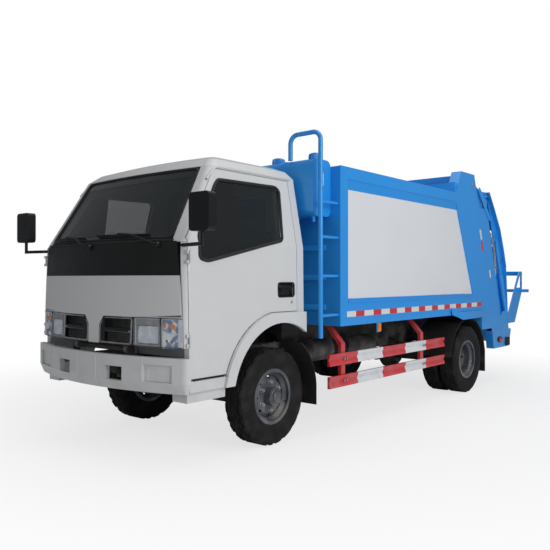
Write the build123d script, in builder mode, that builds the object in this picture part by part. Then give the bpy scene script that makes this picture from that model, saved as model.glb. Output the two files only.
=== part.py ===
"""Rear-loading compactor refuse truck, modelled in millimetres.

+X points forward, +Y to the truck's left and +Z up. The origin lies on the ground
below the middle of the truck's length and width.
"""
import os
from math import acos, asin, cos, hypot, pi, radians, sin, sqrt

from build123d import *

os.makedirs("parts", exist_ok=True)

# Whole truck
wheelbase = 3300
front_overhang = 1170
rear_overhang = 2180
overall_length = front_overhang + wheelbase + rear_overhang
front_axle_x = overall_length / 2 - front_overhang
rear_axle_x = front_axle_x - wheelbase
sides = (1, -1)

# Clearances shared by many pieces
fit_gap = 0.3
panel_gap = 5
joint_gap = 8
overrun = 60

# Tyres and rims
tyre_radius = 387.5
tyre_width = 200
tyre_shoulder = 22
tyre_wall = 20
bead_width = 150
bead_clearance = 3
rim_seat_radius = 203
rim_lip_radius = 222
rim_width = 165
rim_well_radius = 178
rim_sheet = 8
disc_sheet = 10
wheel_stud_circle = 222.5
wheel_stud_count = 6
wheel_stud_radius = 11
stud_stand_out = 24
hand_hole_count = 8
hand_hole_radius = 15
hub_flange_radius = 138
hub_flange_sheet = 14
hub_radius = 72
hub_cap_reach = 62
drum_radius = 150
drum_width = 90
front_drum_back = 30
rear_drum_back = 60
front_track_half = 760
rear_outer_half = 943
dual_spacing = 225
rear_inner_half = rear_outer_half - dual_spacing

# Chassis frame
rail_outer_half = 350
rail_height = 180
rail_flange = 62
rail_sheet = 8
rail_top_z = 740
rail_bottom_z = rail_top_z - rail_height
rail_front_behind_face = 130
rail_rear_behind_axle = 640
crossmember_width = 70
crossmember_height = 110
crossmember_shares = (0.014, 0.47, 0.62, 0.78, 0.985)

# Front axle beam and kingpins
kingpin_half = 600
kingpin_radius = 16
beam_eye_radius = 34
beam_eye_height = 110
beam_height = 74
beam_width = 60
beam_web = 22
beam_drop = 62
beam_drop_half = 410
spring_half = 392
spring_width = 60
spring_leaf = 11
front_leaf_count = 6
rear_leaf_count = 8
front_spring_half_length = 560
rear_spring_half_length = 600
spring_camber = 62
spring_eye_radius = 24
spring_pad_height = 26

# Steering
knuckle_fork = 28
spindle_radius = 24
steer_arm_reach = 170
steer_arm_thickness = 22
tie_rod_radius = 15
tie_pin_radius = 11
tie_drop = 72
ball_radius = 23

# Rear axle
axle_tube_radius = 58
diff_radius = 172
diff_width = 230
diff_nose_length = 210

# Powertrain
engine_front_ahead = 430
engine_rear_behind = 380
engine_half_width = 250
engine_bottom_z = 455
engine_top_z = 850
gearbox_length = 620
gearbox_radius = 170
gearbox_tail_radius = 90
shaft_radius = 38
shaft_z = 560

# Tanks under the frame
fuel_tank_length = 640
fuel_tank_height = 300
fuel_tank_depth = 330
fuel_tank_corner = 55
fuel_tank_front_behind = 1500
tank_bracket_gap = 40
silencer_radius = 105
silencer_length = 560
air_vessel_radius = 90
air_vessel_length = 520

# Cab
cab_wall = 45
cab_rear_behind = 330
cab_front_ahead = 1105
cab_belt_z = 1585
cab_sill_z = 640
cab_front_bottom_z = 852
cab_rear_bottom_z = 1000
cab_half_width = 900
cab_corner_radius = 60
cab_roof_z = 2290
windscreen_foot_ahead = 1090
glass_sheet = 6
glass_inset = 6
seal_gap = 0.3

# Columns: height, front ahead of the axle, corner setback, half width, rear behind the axle
cab_sections = (
    (cab_sill_z, cab_front_ahead, 105, cab_half_width, cab_rear_behind),
    (cab_belt_z, windscreen_foot_ahead, 120, 890, cab_rear_behind),
    (2165, 700, 60, 785, 325),
    (2232, 610, 55, 715, 305),
    (2272, 490, 50, 610, 260),
    (cab_roof_z, 330, 45, 440, 180),
)
cab_tilt_ahead = 1020
cab_tilt_z = 815
tilt_pin_radius = 18
tilt_eye_radius = 32
tilt_eye_width = 36
tilt_eye_half = 314

# Wheel arch
arch_centre_ahead = -20
arch_centre_z = 420
arch_inner_radius = 560
arch_outer_radius = 655
arch_steps = 8
flare_stand_out = 28
flare_sheet = 30
step_front_ahead = 946
step_rear_ahead = 575
step_top_z = 632
step_bottom_z = 545
step_skirt_z = 470
step_depth = 180

# Doors
door_front_ahead = 952
front_seam_ahead = 985
door_rear_ahead = -240
door_bottom_z = 637
door_arch_top_z = 1066
door_pillar_z = 1610
door_head_z = 2140
door_head_front_ahead = 615
door_thickness = 50
# Columns: distance ahead of the front axle, height
door_window = (
    (-55, 1640), (760, 1462), (838, 1480), (838, 1640), (624, 2000), (580, 2050), (-60, 2065), (-100, 2035),
)
handle_length = 200
handle_height = 112
handle_depth = 22
handle_ahead = -101
handle_z = 1240
door_hinge_ahead = 954
door_hinge_half = 912
door_hinge_radius = 9
door_hinge_pin_radius = 5
door_hinge_height = 44
door_hinge_leaf = 24
door_hinge_heights = (905, 1480)

# Front panels, cowl and grilles
panel_sheet = 24
panel_side_z = 1085
panel_low_z = 1056
cowl_bottom_z = 1352
cowl_top_z = 1592
grille_inner_half = 68
grille_outer_half = 436
grille_chamfer = 50
grille_chamfer_drop = 66
grille_bar_height = 16
grille_slot_count = 2
headlamp_inner_half = 444
headlamp_bottom_z = 852
headlamp_depth = 70
windscreen_low_z = 1604
windscreen_high_z = 2158
windscreen_low_half = 770
windscreen_high_half = 700
rear_window_half = 520
rear_window_low_z = 1680
rear_window_high_z = 2040

# Cab floor and fittings
floor_sheet = 30
floor_top_z = 1010
footwell_top_z = 812
footwell_rear_ahead = 540
bulkhead_ahead = 950
bulkhead_top_z = 1300
floor_half_width = 840
seat_width = 500
seat_depth = 480
seat_thickness = 130
seat_half = 430
seat_base_z = 1140
seat_rear_behind = 175
seat_back_height = 620
seat_back_thickness = 110
seat_back_lean = 90
dash_top_z = 1500
dash_bottom_z = 1180
dash_depth = 330
steering_radius = 210
steering_rim = 14
steering_spoke = 9
steering_half = 430
steering_hub_radius = 60
steering_column_radius = 24
steering_tilt = 32

# Mirrors
mirror_half = 1110
mirror_width = 190
mirror_height = 255
mirror_depth = 70
mirror_ahead = 1030
mirror_z = 1770
mirror_arm_radius = 13
mirror_arm_z = 1560
mirror_head_round = 30
mirror_root_ahead = 970

# Front bumper
bumper_top_z = 785
bumper_bottom_z = 538
bumper_crease_z = 612
bumper_tuck = 24
bumper_tuck_corner = 23
bumper_setback = 165
bumper_half = 930
bumper_sheet = 40
bumper_corner = 50
bumper_return = 42
tow_hole_width = 170
tow_hole_height = 100
tow_hole_half = 312
tow_hole_z = 655
lamp_recess_width = 235
lamp_recess_height = 120
lamp_recess_half = 705
lamp_recess_z = 675
lamp_recess_depth = 12
bumper_bracket = 60

# Container
box_half = 1050
box_wall = 90
box_front_behind = 645
box_bottom_z = 920
box_floor_z = 1000
box_top_z = 2300
box_roof_sheet = 50
box_front_wall = 60
rear_slope_share = 0.32
rear_edge_past = 258
rear_edge_z = 2238
band_slope_share = 0.44
band_edge_past = -300
band_edge_z = 2090
bearer_half = 315
bearer_width = 70
side_post_width = 120
panel_recess = 14
panel_top_z = 2107
panel_bevel_top_z = 2184
panel_bottom_z = 1150
post_sheet = 15
post_inner_half = 930
post_inner_sheet = 10
frame_foot_z = 710
frame_leg_past = 380
portal_top_z = 2560
portal_foot_past = -350
portal_head_past = -210
portal_low_beam_top_z = 2420
portal_beam_depth = 130
portal_high_beam_z = 2500
foot_beam_depth = 90
foot_beam_top_z = 860

# Water tank across the front of the container
tank_front_behind = 388
tank_bottom_z = 1860
tank_top_z = 2345
tank_half = 950
tank_corner = 60
tank_cap_radius = 55
tank_cap_height = 52
tank_cap_halves = (880, 470)
tank_drain_radius = 16
tank_drain_drop = 45

# Ladder
ladder_half = 1020
ladder_behind = 400
ladder_radius = 20
ladder_rung_radius = 13
ladder_foot_z = 835
ladder_rung_heights = (1020, 1352, 1680, 1975)
ladder_hook_top_z = 2560
ladder_hook_reach = 320
ladder_hook_radius = 75

# Side guards
guard_half = 1000
guard_front_behind = 561
guard_rear_past = -543
guard_rail_height = 100
guard_rail_depth = 26
guard_low_z = 387
guard_high_z = 578
guard_post_width = 62
guard_post_depth = 32
guard_post_shares = (0.1088, 0.7782)
guard_post_top_z = box_bottom_z - fit_gap
guard_post_kink_z = 760
guard_post_offset = 150

# Mudguards
front_flap_width = 240
front_flap_sheet = 8
front_flap_low_z = 255
front_guard_radius = 500
guard_arc_steps = 9
front_guard_degrees = (5, 55)
rear_guard_degrees = (8, 172)
rear_guard_radius = 480
rear_guard_width = 440
rear_guard_sheet = 8
rear_flap_low_z = 195

# Tailgate
tail_gap = 15
tail_inner_half = 925
tail_plate = 12
tail_outer_half = 1020
tail_skin = 12
tail_band_depth = 330
tail_sill_low_z = 440
tail_sill_top_z = 665
tail_sill_front_past = 820
tail_foot_rear_past = 1330
# Columns: distance behind the front axle, height, from the hopper's foot up to the top
tail_back_edge = ((1420, 630), (1340, 1500), (1260, 1710), (1140, 1970), (950, 2220), (780, 2425))
tail_top_front_past = 400
tail_top_front_z = 2415
tail_back_flange = 60
tail_gusset = ((1140, 905), (1250, 900), (1350, 630), (1070, 634), (1010, 820))
cover_sheet = 8
hinge_past = 120
hinge_z = 2460
hinge_pin_radius = 25
hinge_boss_radius = 52
arm_plate = 12
arm_gap = 32

# Tailgate lift cylinders
lift_half = 972.5
lift_foot_past = 435
lift_foot_z = 950
lift_head_past = 500
lift_head_z = 2250
lift_barrel_radius = 30
lift_rod_radius = 20
lift_barrel_length = 1050
lift_rod_engaged = 640
lift_eye_radius = 34
lift_eye_width = 24
lift_foot_width = 54
lift_pin_radius = 16

# Packer
rail_tilt = 20
packer_travel = 550
blade_reach = 316
blade_plate = 28
hopper_radius = 328
hopper_sheet = 8
hopper_centre_past = 1057
hopper_centre_z = 845
loading_edge_z = 1080
loading_edge_lean = 45
packer_length = 1010
packer_plate = 24
packer_rib = 70
packer_half = 885
packer_rib_shares = (0.12, 0.4, 0.7, 0.97)
packer_pad_shares = (0.14, 0.86)
packer_lug_shares = (-0.8, -0.27, 0.27, 0.8)
packer_ear_root_share = 0.8
packer_ear_pin_share = 0.8
sweeper_sleeve_shares = ((-1, -0.83), (-0.77, -0.3), (-0.24, 0.24), (0.3, 0.77), (0.83, 1))
blade_shaft_share = 0.6
guide_depth = 26
guide_gap = 90
guide_bar = 22
guide_pad_length = 130
packer_ear_up_rail = 1064
packer_barrel_length = 620
packer_barrel_radius = 32
barrel_strap_shares = (0.2, 0.85)
barrel_strap_thickness_share = 0.6
packer_rod_radius = 19
packer_rod_clear = 22
packer_cylinder_half = 975
packer_foot_past = 1360
packer_foot_z = 800
packer_ear_radius = 30
slot_width = 66
blade_rest_degrees = -45
blade_pivot_radius = 30

# Bin lifter
lifter_half = 900
lifter_plate = 14
lifter_pivot_past = 1700
lifter_pivot_z = 785
lifter_pivot_radius = 26
lifter_tip_x = -overall_length / 2
lifter_top_z = 1430
lifter_foot_z = 715
lifter_width_top = 110
lifter_width_foot = 190
lifter_bar = 60
lifter_shaft_z = 1155
lifter_shaft_radius = 22
lifter_stub = 100
lifter_bracket_half = 860
lifter_bracket_plate = 20

# Ejector
ejector_top_z = 2190
ejector_low_z = 1030
ejector_half = 915
ejector_sheet = 40
ejector_front_behind = 900
ejector_depth = 420
ejector_web_shares = (-0.9, -0.3, 0.3, 0.9)


def ahead(distance):
    """Station on X that lies a distance ahead of the front axle."""
    return front_axle_x + distance


def behind(distance):
    """Station on X that lies a distance behind the front axle."""
    return front_axle_x - distance


def past(distance):
    """Station a distance behind the rear axle."""
    return rear_axle_x - distance


def block(x_span, y_span, z_span, mode=Mode.ADD):
    """A box between two stations on each axis."""
    spans = (x_span, y_span, z_span)
    with Locations(tuple((low + high) / 2 for low, high in spans)):
        Box(*(abs(high - low) for low, high in spans), mode=mode)


def side_plate(outline, y_span, mode=Mode.ADD):
    """An outline of (x, z) points, seen from the side, made thick across the truck."""
    with BuildSketch(Plane.XZ.offset(-max(y_span))) as face:
        with BuildLine():
            Polyline(*outline, close=True)
        make_face()
    extrude(face.sketch, amount=max(y_span) - min(y_span), mode=mode)


def front_plate(outline, x_span, mode=Mode.ADD):
    """An outline of (y, z) points, seen from the front, made thick along the truck."""
    with BuildSketch(Plane.YZ.offset(min(x_span))) as face:
        with BuildLine():
            Polyline(*outline, close=True)
        make_face()
    extrude(face.sketch, amount=max(x_span) - min(x_span), mode=mode)


def plan_plate(outline, z_span, mode=Mode.ADD):
    """An outline of (x, y) points, seen from above, made thick upward."""
    with BuildSketch(Plane.XY.offset(min(z_span))) as face:
        with BuildLine():
            Polyline(*outline, close=True)
        make_face()
    extrude(face.sketch, amount=max(z_span) - min(z_span), mode=mode)


def bar(start, end, radius, mode=Mode.ADD):
    """A round bar between two points."""
    run = Vector(*end) - Vector(*start)
    with BuildSketch(Plane(origin=start, z_dir=run)) as face:
        Circle(radius)
    extrude(face.sketch, amount=run.length, mode=mode)


def both(side, low, high):
    """A span on Y, given for the left and mirrored for the right."""
    return tuple(sorted((side * low, side * high)))


# Wheels: profiles are (across, radius) points on the wheel's own plane, with across outward


def wheel_plane(x, y, side):
    return Plane(origin=(x, y, tyre_radius), x_dir=(0, side, 0), z_dir=(side, 0, 0))


def tyre(x, y, side):
    """One tyre as a hollow ring, open at its beads."""
    half = tyre_width / 2
    bead = rim_seat_radius + fit_gap
    lip = rim_lip_radius + bead_clearance
    foot = bead_width / 2 - bead_clearance
    waist = (lip + tyre_radius) / 2
    with BuildSketch(wheel_plane(x, y, side)) as section:
        with BuildLine():
            Polyline((-foot, lip), (-foot, bead), (-foot + tyre_wall, bead), (-foot + tyre_wall, lip))
            ThreePointArc(
                (-foot + tyre_wall, lip),
                (-half + tyre_wall, waist),
                (-half + tyre_shoulder + tyre_wall, tyre_radius - tyre_shoulder),
            )
            Line(
                (-half + tyre_shoulder + tyre_wall, tyre_radius - tyre_shoulder),
                (half - tyre_shoulder - tyre_wall, tyre_radius - tyre_shoulder),
            )
            ThreePointArc(
                (half - tyre_shoulder - tyre_wall, tyre_radius - tyre_shoulder),
                (half - tyre_wall, waist),
                (foot - tyre_wall, lip),
            )
            Polyline((foot - tyre_wall, lip), (foot - tyre_wall, bead), (foot, bead), (foot, lip))
            ThreePointArc(
                (foot, lip), (half, waist), (half - tyre_shoulder / 2, tyre_radius - tyre_shoulder),
            )
            Line(
                (half - tyre_shoulder / 2, tyre_radius - tyre_shoulder),
                (half - tyre_shoulder, tyre_radius),
            )
            Line((half - tyre_shoulder, tyre_radius), (-half + tyre_shoulder, tyre_radius))
            Line(
                (-half + tyre_shoulder, tyre_radius),
                (-half + tyre_shoulder / 2, tyre_radius - tyre_shoulder),
            )
            ThreePointArc(
                (-half + tyre_shoulder / 2, tyre_radius - tyre_shoulder), (-half, waist), (-foot, lip),
            )
        make_face()
    revolve(section.sketch, axis=Axis((x, y, tyre_radius), (0, 1, 0)))


def rim(x, y, side, dish, flange_at):
    """One steel rim: its barrel, the dished disc out to the flange plane, and the stud and hand holes."""
    axis = Axis((x, y, tyre_radius), (0, 1, 0))
    half = rim_width / 2
    bead_half = bead_width / 2
    well = rim_seat_radius - rim_well_radius
    with BuildSketch(wheel_plane(x, y, side)) as barrel:
        with BuildLine():
            Polyline(
                (-half, rim_lip_radius), (-half + rim_sheet, rim_lip_radius),
                (-bead_half - fit_gap, rim_seat_radius),
                (-well * 2, rim_seat_radius), (-well, rim_well_radius), (well, rim_well_radius),
                (well * 2, rim_seat_radius), (bead_half + fit_gap, rim_seat_radius),
                (half - rim_sheet, rim_lip_radius), (half, rim_lip_radius),
                (half, rim_seat_radius - rim_sheet), (well * 2 + rim_sheet, rim_seat_radius - rim_sheet),
                (well + rim_sheet, rim_well_radius - rim_sheet),
                (-well - rim_sheet, rim_well_radius - rim_sheet),
                (-well * 2 - rim_sheet, rim_seat_radius - rim_sheet), (-half, rim_seat_radius - rim_sheet),
                close=True,
            )
        make_face()
    revolve(barrel.sketch, axis=axis)
    with BuildSketch(wheel_plane(x, y, side)) as disc:
        with BuildLine():
            Polyline(
                (dish, rim_well_radius - rim_sheet / 2),
                (dish + disc_sheet, rim_well_radius - rim_sheet / 2),
                (flange_at + disc_sheet, hub_flange_radius), (flange_at + disc_sheet, hub_radius + fit_gap),
                (flange_at, hub_radius + fit_gap), (flange_at, hub_flange_radius),
                close=True,
            )
        make_face()
    revolve(disc.sketch, axis=axis)
    hand_circle = (rim_well_radius - rim_sheet + hub_flange_radius) / 2
    for turn in range(hand_hole_count):
        angle = 2 * pi * turn / hand_hole_count
        px, pz = x + hand_circle * cos(angle), tyre_radius + hand_circle * sin(angle)
        bar((px, y - half, pz), (px, y + half, pz), hand_hole_radius, mode=Mode.SUBTRACT)


def hub(x, y, side, flange_at, inner_reach, drum_back):
    """The hub with its studs and cap, and the brake drum behind the flange."""
    face = y + side * (flange_at + disc_sheet)
    seat = y + side * flange_at
    bar(
        (x, seat - side * inner_reach, tyre_radius), (x, face + side * hub_cap_reach, tyre_radius),
        hub_radius,
    )
    drum_face = seat - side * drum_back
    bar((x, drum_face - side * drum_width, tyre_radius), (x, drum_face, tyre_radius), drum_radius)
    bar(
        (x, seat - side * hub_flange_sheet, tyre_radius), (x, seat, tyre_radius),
        hub_flange_radius - disc_sheet,
    )
    for turn in range(wheel_stud_count):
        angle = 2 * pi * (turn + 1 / 2) / wheel_stud_count
        px = x + wheel_stud_circle / 2 * cos(angle)
        pz = tyre_radius + wheel_stud_circle / 2 * sin(angle)
        bar(
            (px, seat - side * disc_sheet / 2, pz), (px, face + side * stud_stand_out, pz),
            wheel_stud_radius,
        )


front_disc_at = 10
front_flange_at = 34
rear_disc_at = -40
rear_flange_at = -dual_spacing / 2
spindle_gap = 0.3

for side, hand in zip(sides, ("left", "right")):
    with BuildPart() as front_tyre:
        tyre(front_axle_x, side * front_track_half, side)
    front_tyre.part.label = "front_tyre_" + hand
    export_step(front_tyre.part, "parts/front_tyre_" + hand + ".step")

    with BuildPart() as front_rim:
        rim(front_axle_x, side * front_track_half, side, front_disc_at, front_flange_at)
        hub(front_axle_x, side * front_track_half, side, front_flange_at, drum_width, front_drum_back)
        bar(
            (front_axle_x, side * kingpin_half, tyre_radius),
            (front_axle_x, side * (front_track_half + front_flange_at + disc_sheet / 2), tyre_radius),
            spindle_radius + spindle_gap,
            mode=Mode.SUBTRACT,
        )
    front_rim.part.label = "front_rim_" + hand
    export_step(front_rim.part, "parts/front_rim_" + hand + ".step")

    with BuildPart() as rear_tyres:
        for y in (rear_outer_half, rear_inner_half):
            tyre(rear_axle_x, side * y, side)
    rear_tyres.part.label = "rear_tyres_" + hand
    export_step(rear_tyres.part, "parts/rear_tyres_" + hand + ".step")

    with BuildPart() as rear_rims:
        rim(rear_axle_x, side * rear_outer_half, side, rear_disc_at, rear_flange_at)
        rim(rear_axle_x, side * rear_inner_half, -side, rear_disc_at, rear_flange_at)
        hub(rear_axle_x, side * rear_outer_half, side, rear_flange_at, drum_width, rear_drum_back)
        bar(
            (rear_axle_x, side * (rear_inner_half - dual_spacing), tyre_radius),
            (rear_axle_x, side * (rear_outer_half + rear_flange_at + disc_sheet), tyre_radius),
            axle_tube_radius + spindle_gap,
            mode=Mode.SUBTRACT,
        )
    rear_rims.part.label = "rear_rims_" + hand
    export_step(rear_rims.part, "parts/rear_rims_" + hand + ".step")


# Chassis frame: two channel rails open inward, joined by crossmembers
rail_front_x = ahead(front_overhang - rail_front_behind_face)
rail_rear_x = rear_axle_x - rail_rear_behind_axle
rail_length = rail_front_x - rail_rear_x

with BuildPart() as chassis_frame:
    for side in sides:
        block(
            (rail_rear_x, rail_front_x),
            both(side, rail_outer_half - rail_flange, rail_outer_half),
            (rail_bottom_z, rail_top_z),
        )
        block(
            (rail_rear_x - overrun, rail_front_x + overrun),
            both(side, rail_outer_half - rail_flange - overrun, rail_outer_half - rail_sheet),
            (rail_bottom_z + rail_sheet, rail_top_z - rail_sheet),
            mode=Mode.SUBTRACT,
        )
    for share in crossmember_shares:
        middle = rail_front_x - share * rail_length
        block(
            (middle - crossmember_width / 2, middle + crossmember_width / 2),
            (-rail_outer_half + rail_sheet, rail_outer_half - rail_sheet),
            (rail_top_z - rail_sheet - crossmember_height, rail_top_z - rail_sheet),
        )
    for side in sides:
        block(
            (ahead(cab_tilt_ahead) - tilt_eye_radius, ahead(cab_tilt_ahead) + tilt_eye_radius),
            both(side, rail_outer_half - rail_sheet, rail_outer_half),
            (rail_top_z - rail_sheet, cab_tilt_z + tilt_pin_radius),
        )
    bar(
        (ahead(cab_tilt_ahead), -rail_outer_half, cab_tilt_z),
        (ahead(cab_tilt_ahead), rail_outer_half, cab_tilt_z),
        tilt_pin_radius,
    )
chassis_frame.part.label = "chassis_frame"
export_step(chassis_frame.part, "parts/chassis_frame.step")


# Front axle: a forged I-beam that drops between the springs, with an eye for each kingpin
beam_top_z = tyre_radius + beam_height / 2
low_top_z = beam_top_z - beam_drop

with BuildPart() as front_axle:
    beam_outline = [
        (-kingpin_half, beam_top_z), (-beam_drop_half, low_top_z), (beam_drop_half, low_top_z),
        (kingpin_half, beam_top_z), (kingpin_half, beam_top_z - beam_height),
        (beam_drop_half, low_top_z - beam_height), (-beam_drop_half, low_top_z - beam_height),
        (-kingpin_half, beam_top_z - beam_height),
    ]
    front_plate(beam_outline, (front_axle_x - beam_width / 2, front_axle_x + beam_width / 2))
    flange = (beam_height - beam_web * 2) / 2
    web_outline = [
        (-beam_drop_half, low_top_z - flange), (beam_drop_half, low_top_z - flange),
        (beam_drop_half, low_top_z - beam_height + flange),
        (-beam_drop_half, low_top_z - beam_height + flange),
    ]
    for face in (-1, 1):
        front_plate(
            web_outline,
            tuple(sorted((front_axle_x + face * beam_web / 2, front_axle_x + face * beam_width))),
            mode=Mode.SUBTRACT,
        )
    for side in sides:
        eye = (front_axle_x, side * kingpin_half)
        bar(
            (*eye, tyre_radius - beam_eye_height / 2), (*eye, tyre_radius + beam_eye_height / 2),
            beam_eye_radius
        )
        bar(
            (*eye, tyre_radius - beam_eye_height), (*eye, tyre_radius + beam_eye_height),
            kingpin_radius + fit_gap, mode=Mode.SUBTRACT,
        )
        block(
            (front_axle_x - spring_width, front_axle_x + spring_width),
            both(side, spring_half - spring_width / 2, spring_half + spring_width / 2),
            (low_top_z, low_top_z + spring_pad_height),
        )
front_axle.part.label = "front_axle"
export_step(front_axle.part, "parts/front_axle.step")


# Steering knuckles: fork, kingpin, spindle and the arm that reaches back to the tie rod
fork_low_z = tyre_radius - beam_eye_height / 2 - fit_gap
fork_high_z = tyre_radius + beam_eye_height / 2 + fit_gap
arm_x = front_axle_x - steer_arm_reach
arm_low_z = fork_low_z - knuckle_fork
tie_z = arm_low_z - tie_drop / 2
fork_neck_half = kingpin_half + beam_eye_radius + joint_gap
spindle_end_half = front_track_half + front_flange_at + disc_sheet / 2 - fit_gap

for side, hand in zip(sides, ("left", "right")):
    with BuildPart() as knuckle:
        for low, high in (
            (fork_low_z - knuckle_fork, fork_low_z), (fork_high_z, fork_high_z + knuckle_fork),
        ):
            bar(
                (front_axle_x, side * kingpin_half, low), (front_axle_x, side * kingpin_half, high),
                beam_eye_radius,
            )
            block(
                (front_axle_x - beam_eye_radius, front_axle_x + beam_eye_radius),
                both(side, kingpin_half, fork_neck_half + knuckle_fork / 2),
                (low, high),
            )
        block(
            (front_axle_x - beam_eye_radius, front_axle_x + beam_eye_radius),
            both(side, fork_neck_half, fork_neck_half + knuckle_fork / 2),
            (fork_low_z - knuckle_fork, fork_high_z + knuckle_fork),
        )
        bar(
            (front_axle_x, side * kingpin_half, fork_low_z - knuckle_fork),
            (front_axle_x, side * kingpin_half, fork_high_z + knuckle_fork),
            kingpin_radius,
        )
        bar(
            (front_axle_x, side * fork_neck_half, tyre_radius),
            (front_axle_x, side * spindle_end_half, tyre_radius),
            spindle_radius,
        )
        block(
            (arm_x, front_axle_x),
            both(side, kingpin_half - steer_arm_thickness, kingpin_half + steer_arm_thickness),
            (arm_low_z, arm_low_z + steer_arm_thickness),
        )
        bar(
            (arm_x, side * kingpin_half, arm_low_z), (arm_x, side * kingpin_half, arm_low_z + knuckle_fork),
            ball_radius,
        )
        bar(
            (arm_x, side * kingpin_half, arm_low_z - tie_drop), (arm_x, side * kingpin_half, arm_low_z),
            tie_pin_radius,
        )
    knuckle.part.label = "knuckle_" + hand
    export_step(knuckle.part, "parts/knuckle_" + hand + ".step")

with BuildPart() as tie_rod:
    bar(
        (arm_x, -kingpin_half + ball_radius / 2, tie_z), (arm_x, kingpin_half - ball_radius / 2, tie_z),
        tie_rod_radius,
    )
    for side in sides:
        bar(
            (arm_x, side * kingpin_half, tie_z - ball_radius),
            (arm_x, side * kingpin_half, tie_z + ball_radius),
            ball_radius,
        )
        bar(
            (arm_x, side * kingpin_half, tie_z - tie_drop), (arm_x, side * kingpin_half, tie_z + tie_drop),
            tie_pin_radius + fit_gap, mode=Mode.SUBTRACT,
        )
tie_rod.part.label = "tie_rod"
export_step(tie_rod.part, "parts/tie_rod.step")


# Rear axle: a banjo casing on two tubes, with the pinion nose towards the propeller shaft
rear_tube_half = rear_outer_half + rear_flange_at - fit_gap
with BuildPart() as rear_axle:
    bar(
        (rear_axle_x, -rear_tube_half, tyre_radius), (rear_axle_x, rear_tube_half, tyre_radius),
        axle_tube_radius,
    )
    bar(
        (rear_axle_x, -diff_width / 2, tyre_radius), (rear_axle_x, diff_width / 2, tyre_radius),
        diff_radius,
    )
    chamfer(
        rear_axle.edges().filter_by(GeomType.CIRCLE).filter_by(
            lambda e: abs(e.radius - diff_radius) < fit_gap
        ),
        diff_width / 4,
    )
    bar(
        (rear_axle_x, 0, tyre_radius), (rear_axle_x + diff_radius + diff_nose_length / 2, 0, tyre_radius),
        axle_tube_radius,
    )
    for side in sides:
        block(
            (rear_axle_x - spring_width, rear_axle_x + spring_width),
            both(side, spring_half - spring_width / 2, spring_half + spring_width / 2),
            (tyre_radius, tyre_radius + axle_tube_radius + spring_pad_height),
        )
rear_axle.part.label = "rear_axle"
export_step(rear_axle.part, "parts/rear_axle.step")


# Leaf springs: stepped leaves, the main one up to an eye at each end, hung on brackets below the rails
def leaf_pack(centre_x, foot_z, half_length, leaf_count, side):
    """Leaves of falling length on a shared camber, with the main leaf's eyes and their hangers."""
    y_span = both(side, spring_half - spring_width / 2, spring_half + spring_width / 2)
    for leaf in range(leaf_count):
        reach = half_length * (leaf + 2) / (leaf_count + 1)
        lift = spring_camber * (reach / half_length) ** 2
        low = foot_z + leaf * spring_leaf
        with BuildSketch(Plane.XZ.offset(-max(y_span))) as section:
            with BuildLine():
                ThreePointArc(
                    (centre_x - reach, low + lift), (centre_x, low), (centre_x + reach, low + lift)
                )
                Line((centre_x + reach, low + lift), (centre_x + reach, low + lift + spring_leaf))
                ThreePointArc(
                    (centre_x + reach, low + lift + spring_leaf), (centre_x, low + spring_leaf),
                    (centre_x - reach, low + lift + spring_leaf),
                )
                Line((centre_x - reach, low + lift + spring_leaf), (centre_x - reach, low + lift))
            make_face()
        extrude(section.sketch, amount=spring_width)
    eye_z = foot_z + (leaf_count - 1 / 2) * spring_leaf + spring_camber
    for end in (-1, 1):
        x = centre_x + end * half_length
        bar((x, min(y_span), eye_z), (x, max(y_span), eye_z), spring_eye_radius)
        hanger = [
            (x - spring_eye_radius * 2, rail_bottom_z + rail_height / 3),
            (x + spring_eye_radius * 2, rail_bottom_z + rail_height / 3),
            (x + spring_eye_radius, eye_z - spring_eye_radius),
            (x - spring_eye_radius, eye_z - spring_eye_radius),
        ]
        side_plate(hanger, both(side, rail_outer_half + fit_gap, spring_half - spring_width / 2))


with BuildPart() as leaf_springs:
    for side in sides:
        leaf_pack(
            front_axle_x, low_top_z + spring_pad_height + fit_gap,
            front_spring_half_length, front_leaf_count, side,
        )
        leaf_pack(
            rear_axle_x, tyre_radius + axle_tube_radius + spring_pad_height + fit_gap,
            rear_spring_half_length, rear_leaf_count, side,
        )
leaf_springs.part.label = "leaf_springs"
export_step(leaf_springs.part, "parts/leaf_springs.step")


# Powertrain: the engine as one block, the tapered gearbox and the propeller shaft to the pinion
engine_rear_x = behind(engine_rear_behind)
gearbox_rear_x = engine_rear_x - gearbox_length
pinion_x = rear_axle_x + diff_radius + diff_nose_length / 2

with BuildPart() as powertrain:
    block(
        (engine_rear_x, ahead(engine_front_ahead)), (-engine_half_width, engine_half_width),
        (engine_bottom_z, engine_top_z),
    )
    fillet(powertrain.edges().filter_by(Axis.X), engine_half_width / 6)
    for x, radius in ((engine_rear_x, gearbox_radius), (gearbox_rear_x, gearbox_tail_radius)):
        with BuildSketch(Plane.YZ.offset(x)):
            with Locations((0, shaft_z)):
                Circle(radius)
    loft()
    bar((gearbox_rear_x, 0, shaft_z), (pinion_x + shaft_radius * 2, 0, tyre_radius), shaft_radius)
    bar(
        (pinion_x + fit_gap, 0, tyre_radius), (pinion_x + shaft_radius * 2, 0, tyre_radius),
        axle_tube_radius,
    )
    for side in sides:
        block(
            (engine_rear_x, engine_rear_x + crossmember_width),
            both(side, engine_half_width - overrun / 2, rail_outer_half - rail_sheet - fit_gap),
            (rail_bottom_z + rail_sheet + fit_gap, rail_bottom_z + rail_height / 2),
        )
powertrain.part.label = "powertrain"
export_step(powertrain.part, "parts/powertrain.step")


# Tanks and vessels hung on the outside of the rails
fuel_front_x = behind(fuel_tank_front_behind)
tank_inner = rail_outer_half + tank_bracket_gap
tank_top = rail_top_z - rail_sheet * 2

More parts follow.
